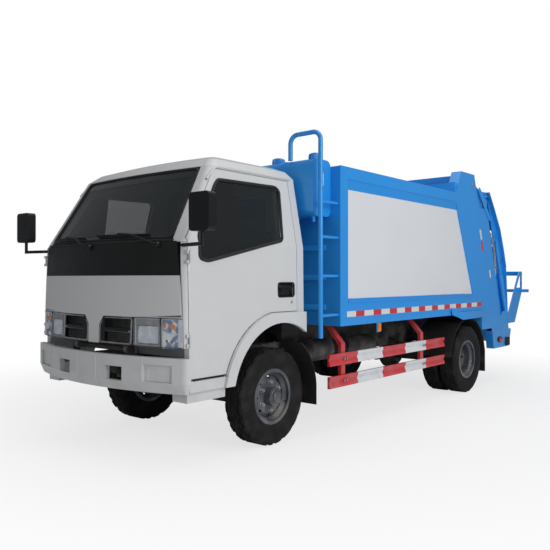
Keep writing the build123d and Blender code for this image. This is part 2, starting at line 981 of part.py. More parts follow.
with BuildPart() as chassis_tanks:
    block(
        (fuel_front_x - fuel_tank_length, fuel_front_x), (-tank_inner - fuel_tank_depth, -tank_inner),
        (tank_top - fuel_tank_height, tank_top),
    )
    fillet(chassis_tanks.edges().filter_by(Axis.X), fuel_tank_corner)
    for share in (1 / 4, 3 / 4):
        x = fuel_front_x - share * fuel_tank_length
        block(
            (x - bearer_width / 2, x + bearer_width / 2),
            (-tank_inner - overrun, -rail_outer_half - fit_gap),
            (tank_top - fuel_tank_height / 2, tank_top - fuel_tank_corner),
        )
    vessel_z = rail_bottom_z + rail_height / 2
    vessel_half = tank_inner + air_vessel_radius
    bar(
        (fuel_front_x - air_vessel_length, vessel_half, vessel_z), (fuel_front_x, vessel_half, vessel_z),
        air_vessel_radius,
    )
    silencer_x = fuel_front_x - fuel_tank_length - overrun
    bar(
        (behind(box_front_behind), tank_inner + silencer_radius, vessel_z),
        (behind(box_front_behind) - silencer_length, tank_inner + silencer_radius, vessel_z),
        silencer_radius,
    )
    for x in (fuel_front_x - air_vessel_length / 2, behind(box_front_behind) - silencer_length / 2):
        block(
            (x - bearer_width / 2, x + bearer_width / 2),
            (rail_outer_half + fit_gap, tank_inner + air_vessel_radius / 3),
            (vessel_z - air_vessel_radius / 2, vessel_z + air_vessel_radius / 2),
        )
chassis_tanks.part.label = "chassis_tanks"
export_step(chassis_tanks.part, "parts/chassis_tanks.step")


# Front bumper: a bowed channel with returned ends, tow holes and recessed blank lamp panels
bumper_face_x = ahead(front_overhang)
bumper_end_x = ahead(front_overhang - bumper_setback)


def bumper_plan(inset, height, corner=bumper_corner, room=0):
    """The bowed plan of the bumper at a height, drawn in by an inset and open further back by some room."""
    half = bumper_half - inset
    with BuildSketch(Plane.XY.offset(height)) as plan:
        with BuildLine():
            ThreePointArc(
                (bumper_end_x - inset, half), (bumper_face_x - inset, 0), (bumper_end_x - inset, -half)
            )
            rear_x = bumper_end_x - bumper_return - room
            Polyline(
                (bumper_end_x - inset, -half), (rear_x, -half), (rear_x, half),
                (bumper_end_x - inset, half),
            )
        make_face()
        fillet(plan.vertices().group_by(Axis.X)[-1], corner)
    return plan.sketch


def bumper_band(inset, z_span, mode=Mode.ADD):
    """A straight band of the bumper between two heights."""
    low, high = z_span
    extrude(bumper_plan(inset, low, room=2 * inset), amount=high - low, mode=mode)


with BuildPart() as lamp_recesses:
    for side in sides:
        block(
            (bumper_end_x - bumper_sheet, bumper_face_x + overrun),
            both(side, lamp_recess_half - lamp_recess_width / 2, lamp_recess_half + lamp_recess_width / 2),
            (lamp_recess_z - lamp_recess_height / 2, lamp_recess_z + lamp_recess_height / 2),
        )
    bumper_band(lamp_recess_depth, (bumper_bottom_z, bumper_top_z), mode=Mode.SUBTRACT)

with BuildPart() as front_bumper:
    bumper_band(0, (bumper_crease_z, bumper_top_z))
    lower_plans = (
        bumper_plan(bumper_tuck, bumper_bottom_z, bumper_tuck_corner), bumper_plan(0, bumper_crease_z),
    )
    loft(lower_plans, ruled=True)
    bumper_band(bumper_sheet, (bumper_bottom_z - overrun, bumper_top_z + overrun), mode=Mode.SUBTRACT)
    add(lamp_recesses.part, mode=Mode.SUBTRACT)
    for side in sides:
        block(
            (bumper_end_x, bumper_face_x + overrun),
            both(side, tow_hole_half - tow_hole_width / 2, tow_hole_half + tow_hole_width / 2),
            (tow_hole_z - tow_hole_height / 2, tow_hole_z + tow_hole_height / 2),
            mode=Mode.SUBTRACT,
        )
        block(
            (rail_front_x + fit_gap, bumper_face_x - bumper_sheet),
            both(side, rail_outer_half - bumper_bracket, rail_outer_half),
            (rail_bottom_z, tow_hole_z - tow_hole_height / 2 - rail_sheet),
        )
front_bumper.part.label = "front_bumper"
export_step(front_bumper.part, "parts/front_bumper.step")


# Cab form: the same ruled sections serve the shell, the doors, the panels and the glass
def cab_form(inset, front_inset, sections):
    """The cab's closed form through some of its sections, drawn in at its sides and its front."""
    with BuildPart() as form:
        for height, front, setback, half, rear in sections:
            level = height - inset if height > cab_belt_z else height
            with BuildSketch(Plane.XY.offset(level)) as plan:
                with BuildLine():
                    corner_x = ahead(front - setback) - front_inset
                    ThreePointArc(
                        (corner_x, half - inset), (ahead(front) - front_inset, 0), (corner_x, -half + inset)
                    )
                    Polyline(
                        (corner_x, -half + inset), (behind(rear) + inset, -half + inset),
                        (behind(rear) + inset, half - inset), (corner_x, half - inset),
                    )
                make_face()
                fillet(plan.vertices().group_by(Axis.X)[-1], cab_corner_radius)
        loft(ruled=True)
    return form.part


cab_outer = cab_form(0, 0, cab_sections)
cab_inner = cab_form(cab_wall, cab_wall, cab_sections)
cab_low_inner = cab_form(cab_wall, -overrun, cab_sections[:2])
door_inner = cab_form(door_thickness, -overrun, cab_sections)
panel_inner = cab_form(panel_sheet, panel_sheet, cab_sections[:2])
glass_outer = cab_form(glass_inset, glass_inset, cab_sections)
glass_inner = cab_form(glass_inset + glass_sheet, glass_inset + glass_sheet, cab_sections)
door_glass_outer = cab_form(glass_inset, -overrun, cab_sections)
door_glass_inner = cab_form(glass_inset + glass_sheet, -overrun, cab_sections)


def arch_points(radius, start, end, steps):
    """Points along the wheel arch, from one angle to another, counted from straight ahead upward."""
    return [
        (
            ahead(arch_centre_ahead) + radius * cos(start + (end - start) * step / steps),
            arch_centre_z + radius * sin(start + (end - start) * step / steps),
        )
        for step in range(steps + 1)
    ]


def door_outline(gap):
    """The door seen from the side, grown outward by a gap."""
    radius = arch_outer_radius - gap
    start = asin((door_bottom_z - gap - arch_centre_z) / radius)
    curve = arch_points(radius, start, asin((door_arch_top_z - gap - arch_centre_z) / radius), arch_steps)
    return [
        (ahead(door_front_ahead + gap), door_bottom_z - gap),
        *curve,
        (ahead(door_rear_ahead - gap), door_arch_top_z - gap),
        (ahead(door_rear_ahead - gap), door_head_z + gap),
        (ahead(door_head_front_ahead), door_head_z + gap),
        (ahead(door_front_ahead + gap), door_pillar_z + gap),
    ]


window_outline = [(ahead(distance), height) for distance, height in door_window]


def door_hinge(side, low_z, high_z, reach):
    """One knuckle of a door hinge with its leaf, which reaches ahead or back from the pin."""
    x = ahead(door_hinge_ahead)
    bar((x, side * door_hinge_half, low_z), (x, side * door_hinge_half, high_z), door_hinge_radius)
    block(
        tuple(sorted((x, x + reach))),
        both(
            side, door_hinge_half - door_hinge_leaf - door_hinge_radius,
            door_hinge_half - door_hinge_radius / 2,
        ),
        (low_z, high_z),
    )


windscreen_outline = [
    (-windscreen_low_half, windscreen_low_z), (windscreen_low_half, windscreen_low_z),
    (windscreen_high_half, windscreen_high_z), (-windscreen_high_half, windscreen_high_z),
]
front_zone = (ahead(front_seam_ahead), ahead(front_overhang))
glass_zone = (ahead(door_head_front_ahead - overrun), ahead(front_overhang))

with BuildPart() as cab_shell:
    add(cab_outer)
    add(cab_inner, mode=Mode.SUBTRACT)
    add(cab_low_inner, mode=Mode.SUBTRACT)
    side_plate(
        door_outline(panel_gap), (-cab_half_width - overrun, cab_half_width + overrun), mode=Mode.SUBTRACT,
    )
    block(
        (behind(cab_rear_behind) - overrun, ahead(door_front_ahead)),
        (-cab_half_width - overrun, cab_half_width + overrun),
        (cab_sill_z - overrun, cab_rear_bottom_z),
        mode=Mode.SUBTRACT,
    )
    block(
        front_zone, (-cab_half_width - overrun, cab_half_width + overrun),
        (cab_sill_z - overrun, cowl_top_z),
        mode=Mode.SUBTRACT,
    )
    block(
        (ahead(door_front_ahead) - overrun, front_zone[0] + fit_gap),
        (-cab_half_width - overrun, cab_half_width + overrun),
        (cab_sill_z - overrun, cab_front_bottom_z),
        mode=Mode.SUBTRACT,
    )
    front_plate(windscreen_outline, glass_zone, mode=Mode.SUBTRACT)
    block(
        (behind(cab_rear_behind) - overrun, behind(cab_rear_behind) + cab_wall + overrun),
        (-rear_window_half, rear_window_half), (rear_window_low_z, rear_window_high_z),
        mode=Mode.SUBTRACT,
    )
    for side in sides:
        for height in door_hinge_heights:
            low_z, high_z = height - door_hinge_height / 2, height + door_hinge_height / 2
            door_hinge(side, low_z - door_hinge_height / 2, low_z - fit_gap, door_hinge_leaf)
            door_hinge(side, high_z + fit_gap, high_z + door_hinge_height / 2, door_hinge_leaf)
            x = ahead(door_hinge_ahead)
            bar(
                (x, side * door_hinge_half, low_z), (x, side * door_hinge_half, high_z + fit_gap),
                door_hinge_pin_radius,
            )
cab_shell.part.label = "cab_shell"
export_step(cab_shell.part, "parts/cab_shell.step")


# Cab floor: raised over the engine and the wheels, stepped down to the footwell, with the front bulkhead
floor_rear_x = behind(cab_rear_behind) + cab_wall + fit_gap
floor_front_x = ahead(bulkhead_ahead)
with BuildPart() as cab_floor:
    riser_x = ahead(footwell_rear_ahead)
    floor_outline = [
        (floor_rear_x, floor_top_z), (riser_x - floor_sheet, floor_top_z),
        (riser_x, floor_top_z - floor_sheet),
        (riser_x, footwell_top_z), (floor_front_x - floor_sheet, footwell_top_z),
        (floor_front_x - floor_sheet, bulkhead_top_z), (floor_front_x, bulkhead_top_z),
        (floor_front_x, footwell_top_z - floor_sheet),
        (riser_x - floor_sheet, footwell_top_z - floor_sheet),
        (riser_x - floor_sheet, floor_top_z - floor_sheet * 2), (floor_rear_x, floor_top_z - floor_sheet),
    ]
    side_plate(floor_outline, (-floor_half_width, floor_half_width))
    for side in sides:
        block(
            (behind(seat_rear_behind), behind(seat_rear_behind) + seat_depth),
            both(side, seat_half - seat_width / 3, seat_half + seat_width / 3),
            (floor_top_z, seat_base_z),
        )
        eye_span = both(side, tilt_eye_half - tilt_eye_width / 2, tilt_eye_half + tilt_eye_width / 2)
        block(
            (floor_front_x, ahead(cab_tilt_ahead)), eye_span,
            (cab_tilt_z - tilt_eye_radius, cab_tilt_z + tilt_eye_radius),
        )
        x = ahead(cab_tilt_ahead)
        bar((x, min(eye_span), cab_tilt_z), (x, max(eye_span), cab_tilt_z), tilt_eye_radius)
    bar(
        (ahead(cab_tilt_ahead), -floor_half_width, cab_tilt_z),
        (ahead(cab_tilt_ahead), floor_half_width, cab_tilt_z),
        tilt_pin_radius + fit_gap, mode=Mode.SUBTRACT,
    )
cab_floor.part.label = "cab_floor"
export_step(cab_floor.part, "parts/cab_floor.step")


# Front panel with the divider between the grilles
with BuildPart() as front_panel:
    add(cab_outer)
    add(panel_inner, mode=Mode.SUBTRACT)
    panel_outline = [
        (cab_half_width + overrun, panel_side_z), (headlamp_inner_half, panel_low_z),
        (grille_inner_half + grille_chamfer, panel_low_z),
        (grille_inner_half, panel_low_z - grille_chamfer_drop),
        (grille_inner_half, cab_front_bottom_z),
    ]
    panel_outline += [(-y, z) for y, z in reversed(panel_outline)]
    panel_outline += [(-cab_half_width - overrun, cowl_bottom_z), (cab_half_width + overrun, cowl_bottom_z)]
    front_plate(panel_outline, (front_zone[0] + panel_gap, front_zone[1]), mode=Mode.INTERSECT)
front_panel.part.label = "front_panel"
export_step(front_panel.part, "parts/front_panel.step")


# Black front trim: the cowl below the windscreen and the two slatted grilles
with BuildPart() as front_trim:
    add(cab_outer)
    add(panel_inner, mode=Mode.SUBTRACT)
    block(
        (front_zone[0] + panel_gap, front_zone[1]), (-cab_half_width - overrun, cab_half_width + overrun),
        (cowl_bottom_z + fit_gap, cowl_top_z - fit_gap), mode=Mode.INTERSECT,
    )
with BuildPart() as grille_mask:
    for side in sides:
        grille_outline = [
            (side * (grille_inner_half + fit_gap), cab_front_bottom_z),
            (side * grille_outer_half, cab_front_bottom_z),
            (side * grille_outer_half, panel_low_z - fit_gap),
            (side * (grille_inner_half + grille_chamfer + fit_gap), panel_low_z - fit_gap),
            (side * (grille_inner_half + fit_gap), panel_low_z - grille_chamfer_drop - fit_gap),
        ]
        front_plate(grille_outline, (front_zone[0] + panel_gap, front_zone[1]))
slat_pitch = (panel_low_z - cab_front_bottom_z) / grille_slot_count
with BuildPart() as grilles:
    add(cab_outer)
    add(panel_inner, mode=Mode.SUBTRACT)
    add(grille_mask.part, mode=Mode.INTERSECT)
    for slot in range(grille_slot_count):
        low = cab_front_bottom_z + slot * slat_pitch + grille_bar_height / 2
        for side in sides:
            block(
                front_zone,
                both(
                    side, grille_inner_half + grille_chamfer + grille_bar_height,
                    grille_outer_half - grille_bar_height,
                ),
                (low + grille_bar_height / 2, low + slat_pitch - grille_bar_height),
                mode=Mode.SUBTRACT,
            )
with BuildPart() as front_trim_all:
    add(front_trim.part)
    add(grilles.part)
front_trim_all.part.label = "front_trim"
export_step(front_trim_all.part, "parts/front_trim.step")


# Headlamps: deep housings that wrap round the cab's corners
lamp_inner = cab_form(headlamp_depth, headlamp_depth, cab_sections[:2])
with BuildPart() as headlamps:
    add(cab_outer)
    add(lamp_inner, mode=Mode.SUBTRACT)
    lamp_outline = [
        (headlamp_inner_half, headlamp_bottom_z), (headlamp_inner_half, panel_low_z - fit_gap),
        (cab_half_width + overrun, panel_side_z - fit_gap), (cab_half_width + overrun, headlamp_bottom_z),
    ]
    with BuildSketch(Plane.YZ.offset(front_zone[0] + panel_gap)) as lamp_faces:
        with BuildLine():
            Polyline(*lamp_outline, close=True)
        make_face()
        with BuildLine():
            Polyline(*[(-y, z) for y, z in lamp_outline], close=True)
        make_face()
    extrude(lamp_faces.sketch, amount=front_zone[1] - front_zone[0], mode=Mode.INTERSECT)
headlamps.part.label = "headlamps"
export_step(headlamps.part, "parts/headlamps.step")


# Cab glass: windscreen and rear window, set into their openings
with BuildPart() as cab_glass:
    add(glass_outer)
    add(glass_inner, mode=Mode.SUBTRACT)
    with BuildSketch(Plane.YZ.offset(glass_zone[0])) as screen:
        with BuildLine():
            Polyline(*windscreen_outline, close=True)
        make_face()
        offset(amount=-seal_gap)
    extrude(screen.sketch, amount=glass_zone[1] - glass_zone[0], mode=Mode.INTERSECT)
with BuildPart() as cab_windows:
    add(cab_glass.part)
    block(
        (behind(cab_rear_behind) + glass_inset, behind(cab_rear_behind) + glass_inset + glass_sheet),
        (-rear_window_half + seal_gap, rear_window_half - seal_gap),
        (rear_window_low_z + seal_gap, rear_window_high_z - seal_gap),
    )
cab_windows.part.label = "cab_glass"
export_step(cab_windows.part, "parts/cab_glass.step")


# Cab skirts: wheel arch flares and the step panels below the doors
with BuildPart() as cab_skirts:
    flare_radius = arch_outer_radius - panel_gap
    flare_top_z = door_arch_top_z - panel_gap * 2
    foot_rise = step_bottom_z - arch_centre_z
    outer_edge = arch_points(
        flare_radius, asin(foot_rise / flare_radius), asin((flare_top_z - arch_centre_z) / flare_radius),
        arch_steps
    )
    rear_angle = pi - acos((cab_rear_behind + arch_centre_ahead) / arch_inner_radius)
    inner_edge = arch_points(
        arch_inner_radius, asin(foot_rise / arch_inner_radius), rear_angle, arch_steps * 2,
    )
    flare_outline = outer_edge + [(behind(cab_rear_behind), flare_top_z)] + inner_edge[::-1]
    for side in sides:
        side_plate(
            flare_outline, both(side, cab_half_width - flare_sheet, cab_half_width + flare_stand_out),
        )
    add(cab_outer, mode=Mode.SUBTRACT)
    for side in sides:
        block(
            (ahead(step_rear_ahead), ahead(step_front_ahead)),
            both(side, cab_half_width - step_depth, cab_half_width),
            (step_bottom_z, step_top_z - joint_gap),
        )
        block(
            (ahead(step_rear_ahead), ahead(step_front_ahead)),
            both(side, cab_half_width - step_depth, cab_half_width - flare_sheet),
            (step_skirt_z, step_bottom_z),
        )
        block(
            (ahead(footwell_rear_ahead), ahead(step_front_ahead)),
            both(side, floor_half_width - floor_sheet, floor_half_width),
            (step_bottom_z, footwell_top_z - floor_sheet - fit_gap),
        )
cab_skirts.part.label = "cab_skirts"
export_step(cab_skirts.part, "parts/cab_skirts.step")


# Seats: a cushion and a leaning back for the driver and the passenger
with BuildPart() as seats:
    for side in sides:
        y_span = both(side, seat_half - seat_width / 2, seat_half + seat_width / 2)
        rear = behind(seat_rear_behind)
        block((rear, rear + seat_depth), y_span, (seat_base_z + fit_gap, seat_base_z + seat_thickness))
        back_outline = [
            (rear, seat_base_z + seat_thickness),
            (rear + seat_back_thickness, seat_base_z + seat_thickness),
            (rear + seat_back_thickness - seat_back_lean, seat_base_z + seat_back_height),
            (rear - seat_back_lean + fit_gap, seat_base_z + seat_back_height),
        ]
        side_plate(back_outline, y_span)
seats.part.label = "seats"
export_step(seats.part, "parts/seats.step")


# Dashboard across the cab with the steering column and wheel on the left
with BuildPart() as dashboard:
    dash_front_x = floor_front_x - floor_sheet - fit_gap
    dash_outline = [
        (dash_front_x, dash_bottom_z), (dash_front_x, dash_top_z),
        (dash_front_x - dash_depth / 2, dash_top_z),
        (dash_front_x - dash_depth, dash_top_z - dash_depth / 3),
        (dash_front_x - dash_depth * 2 / 3, dash_bottom_z),
    ]
    side_plate(dash_outline, (-floor_half_width + overrun, floor_half_width - overrun))
    tilt = radians(steering_tilt)
    wheel_centre = Vector(dash_front_x - dash_depth - steering_hub_radius * 2, steering_half, dash_top_z)
    column = Vector(cos(tilt), 0, -sin(tilt))
    foot = wheel_centre + column * (dash_depth * 3 / 4)
    bar(tuple(wheel_centre), tuple(foot), steering_column_radius)
    bar(
        tuple(wheel_centre - column * steering_column_radius),
        tuple(wheel_centre + column * steering_column_radius), steering_hub_radius,
    )
    with BuildSketch(
        Plane(origin=tuple(wheel_centre), z_dir=(0, 1, 0), x_dir=tuple(column * -1))
    ) as rim_section:
        with Locations((0, steering_radius)):
            Circle(steering_rim)
    revolve(rim_section.sketch, axis=Axis(tuple(wheel_centre), tuple(column)))
    across = Vector(0, 1, 0)
    upward = column.cross(across)
    for spoke in (across, across * -1, upward if upward.Z < 0 else upward * -1):
        bar(tuple(wheel_centre), tuple(wheel_centre + spoke * steering_radius), steering_spoke)
dashboard.part.label = "dashboard"
export_step(dashboard.part, "parts/dashboard.step")


# Mirrors: a head outside each front pillar on a cranked arm from the cowl
with BuildPart() as mirrors:
    arm_root_x = ahead(mirror_root_ahead)
    for side in sides:
        head_x = ahead(mirror_ahead)
        block(
            (head_x - mirror_depth / 2, head_x + mirror_depth / 2),
            both(side, mirror_half - mirror_width / 2, mirror_half + mirror_width / 2),
            (mirror_z - mirror_height / 2, mirror_z + mirror_height / 2),
        )
    fillet(mirrors.edges().filter_by(Axis.X), mirror_head_round)
    for side in sides:
        root = (arm_root_x, side * (cab_half_width - overrun), mirror_arm_z)
        knee = (ahead(mirror_ahead), side * mirror_half, mirror_arm_z)
        bar(root, knee, mirror_arm_radius)
        bar(
            (knee[0], knee[1], knee[2] - mirror_arm_radius), (knee[0], knee[1], mirror_z),
            mirror_arm_radius,
        )
    add(cab_outer, mode=Mode.SUBTRACT)
mirrors.part.label = "mirrors"
export_step(mirrors.part, "parts/mirrors.step")


# Doors: the cab's own form between its skin and its lining, with the window cut and the handle recessed
for side, hand in zip(sides, ("left", "right")):
    with BuildPart() as door:
        add(cab_outer)
        add(door_inner, mode=Mode.SUBTRACT)
        side_plate(
            door_outline(0), both(side, cab_half_width / 2, cab_half_width + overrun), mode=Mode.INTERSECT,
        )
        side_plate(
            window_outline, both(side, cab_half_width / 2, cab_half_width + overrun), mode=Mode.SUBTRACT,
        )
        block(
            (ahead(handle_ahead) - handle_length / 2, ahead(handle_ahead) + handle_length / 2),
            both(side, cab_half_width - handle_depth, cab_half_width + overrun),
            (handle_z - handle_height / 2, handle_z + handle_height / 2),
            mode=Mode.SUBTRACT,
        )
        for height in door_hinge_heights:
            low_z, high_z = height - door_hinge_height / 2, height + door_hinge_height / 2
            door_hinge(side, low_z, high_z, -door_hinge_leaf)
            x = ahead(door_hinge_ahead)
            bar(
                (x, side * door_hinge_half, low_z), (x, side * door_hinge_half, high_z),
                door_hinge_pin_radius + fit_gap, mode=Mode.SUBTRACT,
            )
    door.part.label = "door_" + hand
    export_step(door.part, "parts/door_" + hand + ".step")

    with BuildPart() as door_glass:
        add(door_glass_outer)
        add(door_glass_inner, mode=Mode.SUBTRACT)
        with BuildSketch(
            Plane.XZ.offset(-max(both(side, cab_half_width / 2, cab_half_width + overrun)))
        ) as pane:
            with BuildLine():
                Polyline(*window_outline, close=True)
            make_face()
            offset(amount=-seal_gap)
        extrude(pane.sketch, amount=cab_half_width / 2 + overrun, mode=Mode.INTERSECT)
    door_glass.part.label = "door_" + hand + "_glass"
    export_step(door_glass.part, "parts/door_" + hand + "_glass.step")


# Container: floor on long bearers, recessed side walls, roof, front wall and the sloping rear frame
box_front_x = behind(box_front_behind)
hinge_x = past(hinge_past)


def rear_edge_x(height):
    """Station of the container's sloping rear edge at a height."""
    return past(rear_edge_past) - rear_slope_share * (rear_edge_z - height)


def band_edge_x(height):
    """Station of the front edge of the rear frame at a height."""
    return past(band_edge_past) - band_slope_share * (band_edge_z - height)


with BuildPart() as container_floor:
    deck_x = box_front_x - box_front_wall - fit_gap
    floor_outline = [
        (deck_x, box_floor_z), (deck_x, box_bottom_z),
        (rear_edge_x(box_bottom_z), box_bottom_z), (rear_edge_x(box_floor_z), box_floor_z),
    ]
    side_plate(floor_outline, (-post_inner_half + fit_gap, post_inner_half - fit_gap))
    block(
        (band_edge_x(box_floor_z) + fit_gap, deck_x),
        (-box_half + box_wall + fit_gap, box_half - box_wall - fit_gap), (box_bottom_z, box_floor_z),
    )
    for side in sides:
        block(
            (rear_edge_x(foot_beam_top_z) + foot_beam_depth + fit_gap, box_front_x - box_front_wall),
            both(side, bearer_half - bearer_width / 2, bearer_half + bearer_width / 2),
            (rail_top_z, box_bottom_z),
        )
container_floor.part.label = "container_floor"
export_step(container_floor.part, "parts/container_floor.step")

with BuildPart() as container_sides:
    for side in sides:
        wall_outline = [
            (box_front_x, box_bottom_z), (box_front_x, box_top_z), (band_edge_x(box_top_z), box_top_z),
            (band_edge_x(box_bottom_z), box_bottom_z),
        ]
        side_plate(wall_outline, both(side, box_half - box_wall, box_half - panel_recess))
container_sides.part.label = "container_sides"
export_step(container_sides.part, "parts/container_sides.step")

with BuildPart() as container_side_frames:
    for side in sides:
        frame_span = both(side, box_half - panel_recess, box_half)
        side_plate(wall_outline, frame_span)
        panel_outline = [
            (box_front_x - side_post_width, panel_bottom_z),
            (box_front_x - side_post_width, panel_bevel_top_z),
            (band_edge_x(panel_bevel_top_z) - overrun, panel_bevel_top_z),
            (band_edge_x(panel_bottom_z) - overrun, panel_bottom_z),
        ]
        side_plate(panel_outline, frame_span, mode=Mode.SUBTRACT)
        bevel = [
            (side * box_half, panel_bevel_top_z), (side * (box_half - panel_recess), panel_bevel_top_z),
            (side * (box_half - panel_recess), panel_top_z),
        ]
        front_plate(bevel, (band_edge_x(panel_top_z), box_front_x - side_post_width))
        rear_post_outline = [
            (band_edge_x(box_bottom_z), box_bottom_z), (band_edge_x(box_top_z), box_top_z),
            (rear_edge_x(box_top_z), box_top_z), (rear_edge_x(box_bottom_z), box_bottom_z),
        ]
        side_plate(rear_post_outline, frame_span, mode=Mode.SUBTRACT)
container_side_frames.part.label = "container_side_frames"
export_step(container_side_frames.part, "parts/container_side_frames.step")

with BuildPart() as container_roof:
    roof_z = (box_top_z - box_roof_sheet, box_top_z)
    block(
        (rear_edge_x(box_top_z) + overrun, deck_x), (-post_inner_half + fit_gap, post_inner_half - fit_gap),
        roof_z
    )
    block(
        (band_edge_x(box_top_z) + fit_gap, deck_x),
        (-box_half + box_wall + fit_gap, box_half - box_wall - fit_gap), roof_z,
    )
container_roof.part.label = "container_roof"
export_step(container_roof.part, "parts/container_roof.step")

with BuildPart() as container_front_wall:
    block(
        (box_front_x - box_front_wall, box_front_x),
        (-box_half + box_wall + fit_gap, box_half - box_wall - fit_gap),
        (box_bottom_z, box_top_z),
    )
container_front_wall.part.label = "container_front_wall"
export_step(container_front_wall.part, "parts/container_front_wall.step")

with BuildPart() as container_rear_frame:
    leg_x = past(frame_leg_past)
    portal_side = [
        (band_edge_x(box_bottom_z), box_bottom_z), (band_edge_x(box_top_z), box_top_z),
        (past(portal_foot_past), box_top_z), (past(portal_head_past), portal_top_z),
        (rear_edge_x(portal_top_z), portal_top_z), (rear_edge_x(frame_foot_z), frame_foot_z),
        (leg_x, frame_foot_z), (leg_x + post_sheet, box_bottom_z),
    ]
    hollow = [
        (band_edge_x(box_bottom_z) - post_sheet * 2, box_bottom_z + post_sheet),
        (band_edge_x(box_top_z) - post_sheet * 2, box_top_z),
        (past(portal_foot_past) - post_sheet * 2, box_top_z),
        (past(portal_head_past) - post_sheet * 2, portal_top_z - post_sheet),
        (hinge_x + hinge_boss_radius * 3 / 2, portal_top_z - post_sheet),
        (hinge_x + hinge_boss_radius * 3 / 2, portal_top_z + overrun),
        (rear_edge_x(portal_top_z) - overrun, portal_top_z + overrun),
        (rear_edge_x(frame_foot_z) - overrun, frame_foot_z + post_sheet),
        (leg_x - post_sheet, frame_foot_z + post_sheet), (leg_x, box_bottom_z + post_sheet),
    ]
    for side in sides:
        side_plate(portal_side, both(side, post_inner_half, box_half))
        side_plate(
            hollow, both(side, post_inner_half + post_inner_sheet, box_half - post_sheet),
            mode=Mode.SUBTRACT,
        )
    block(
        (past(portal_foot_past) - portal_beam_depth, past(portal_foot_past)),
        (-box_half + post_sheet, box_half - post_sheet),
        (box_top_z + fit_gap, portal_low_beam_top_z),
    )
    block(
        (rear_edge_x(portal_high_beam_z), rear_edge_x(portal_high_beam_z) + portal_beam_depth),
        (-post_inner_half, post_inner_half),
        (portal_high_beam_z, portal_top_z),
    )
    block(
        (rear_edge_x(foot_beam_top_z), rear_edge_x(foot_beam_top_z) + foot_beam_depth),
        (-post_inner_half, post_inner_half),
        (rail_top_z + fit_gap, foot_beam_top_z),
    )
    for side in sides:
        bar(
            (hinge_x, side * (post_inner_half - overrun), hinge_z),
            (hinge_x, side * (box_half + overrun), hinge_z),
            hinge_pin_radius + fit_gap, mode=Mode.SUBTRACT,
        )
        x = past(lift_foot_past)
        bar((x, side * post_inner_half, lift_foot_z), (x, side * box_half, lift_foot_z), lift_pin_radius)
container_rear_frame.part.label = "container_rear_frame"
export_step(container_rear_frame.part, "parts/container_rear_frame.step")


# Water tank across the container's front, with filler caps and drain stubs
with BuildPart() as front_tank:
    block(
        (box_front_x + fit_gap, behind(tank_front_behind)), (-tank_half, tank_half),
        (tank_bottom_z, tank_top_z)
    )
    fillet(front_tank.edges().filter_by(Axis.Y), tank_corner)
    tank_mid_x = (box_front_x + behind(tank_front_behind)) / 2
    for half in tank_cap_halves:
        bar(
            (tank_mid_x, half, tank_top_z - fit_gap), (tank_mid_x, half, tank_top_z + tank_cap_height),
            tank_cap_radius,
        )
    for share in (1 / 3, 2 / 3):
        x = box_front_x + share * (behind(tank_front_behind) - box_front_x)
        bar(
            (x, tank_half - tank_corner, tank_bottom_z - tank_drain_drop),
            (x, tank_half - tank_corner, tank_bottom_z + tank_corner),
            tank_drain_radius,
        )
front_tank.part.label = "front_tank"
export_step(front_tank.part, "parts/front_tank.step")


# Ladder: one tube post with a hooked handrail head, and rungs back to the container's front post
ladder_x = behind(ladder_behind)
hook_inner_half = ladder_half - ladder_hook_reach
with BuildPart() as ladder:
    with BuildLine() as ladder_path:
        FilletPolyline(
            (ladder_x, ladder_half, ladder_foot_z), (ladder_x, ladder_half, ladder_hook_top_z),
            (ladder_x, hook_inner_half, ladder_hook_top_z),
            (ladder_x, hook_inner_half, tank_top_z + fit_gap),
            radius=ladder_hook_radius,
        )
    with BuildSketch(Plane.XY.offset(ladder_foot_z)) as ladder_section:
        with Locations((ladder_x, ladder_half)):
            Circle(ladder_radius)
    sweep(ladder_section.sketch, path=ladder_path.line)
    for height in ladder_rung_heights:
        bar(
            (box_front_x + fit_gap, ladder_half, height), (ladder_x, ladder_half, height),
            ladder_rung_radius,
        )
ladder.part.label = "ladder"
export_step(ladder.part, "parts/ladder.step")


# Side guards: two pressed rails on cranked posts, on each side
with BuildPart() as side_guards:
    for side in sides:
        for low in (guard_low_z, guard_high_z):
            groove = guard_rail_height / 5
            section = [
                (side * guard_half, low), (side * (guard_half - guard_rail_depth), low),
                (side * (guard_half - guard_rail_depth), low + guard_rail_height),
                (side * guard_half, low + guard_rail_height),
                (side * guard_half, low + guard_rail_height - groove),
                (side * (guard_half - guard_rail_depth / 2), low + guard_rail_height / 2),
                (side * guard_half, low + groove),
            ]
            front_plate(section, (past(guard_rear_past), behind(guard_front_behind)))
        for share in guard_post_shares:
            station_x = behind(guard_front_behind) + share * (
                past(guard_rear_past) - behind(guard_front_behind)
            )
            inner = guard_half - guard_rail_depth - fit_gap
            post = [
                (side * inner, guard_low_z), (side * inner, guard_post_kink_z),
                (side * (inner - guard_post_offset), guard_post_top_z),
                (side * (inner - guard_post_offset - guard_post_depth), guard_post_top_z),
                (side * (inner - guard_post_depth), guard_post_kink_z - guard_post_depth / 2),
                (side * (inner - guard_post_depth), guard_low_z),
            ]
            front_plate(post, (station_x - guard_post_width / 2, station_x + guard_post_width / 2))
side_guards.part.label = "side_guards"
export_step(side_guards.part, "parts/side_guards.step")


# Mudguards: curved sheets over the rear wheels with flaps, and the sheets behind the front wheels
def guard_arc(centre_x, radius, degrees_span, y_span, sheet):
    """A curved sheet round a wheel, from one angle to another, counted from straight behind upward."""
    low, high = degrees_span
    ring = []
    for r in (radius, radius + sheet):
        stations = [low + (high - low) * step / guard_arc_steps for step in range(guard_arc_steps + 1)]
        points = [(centre_x - r * cos(radians(a)), tyre_radius + r * sin(radians(a))) for a in stations]
        ring += points if r == radius else points[::-1]
    side_plate(ring, y_span)


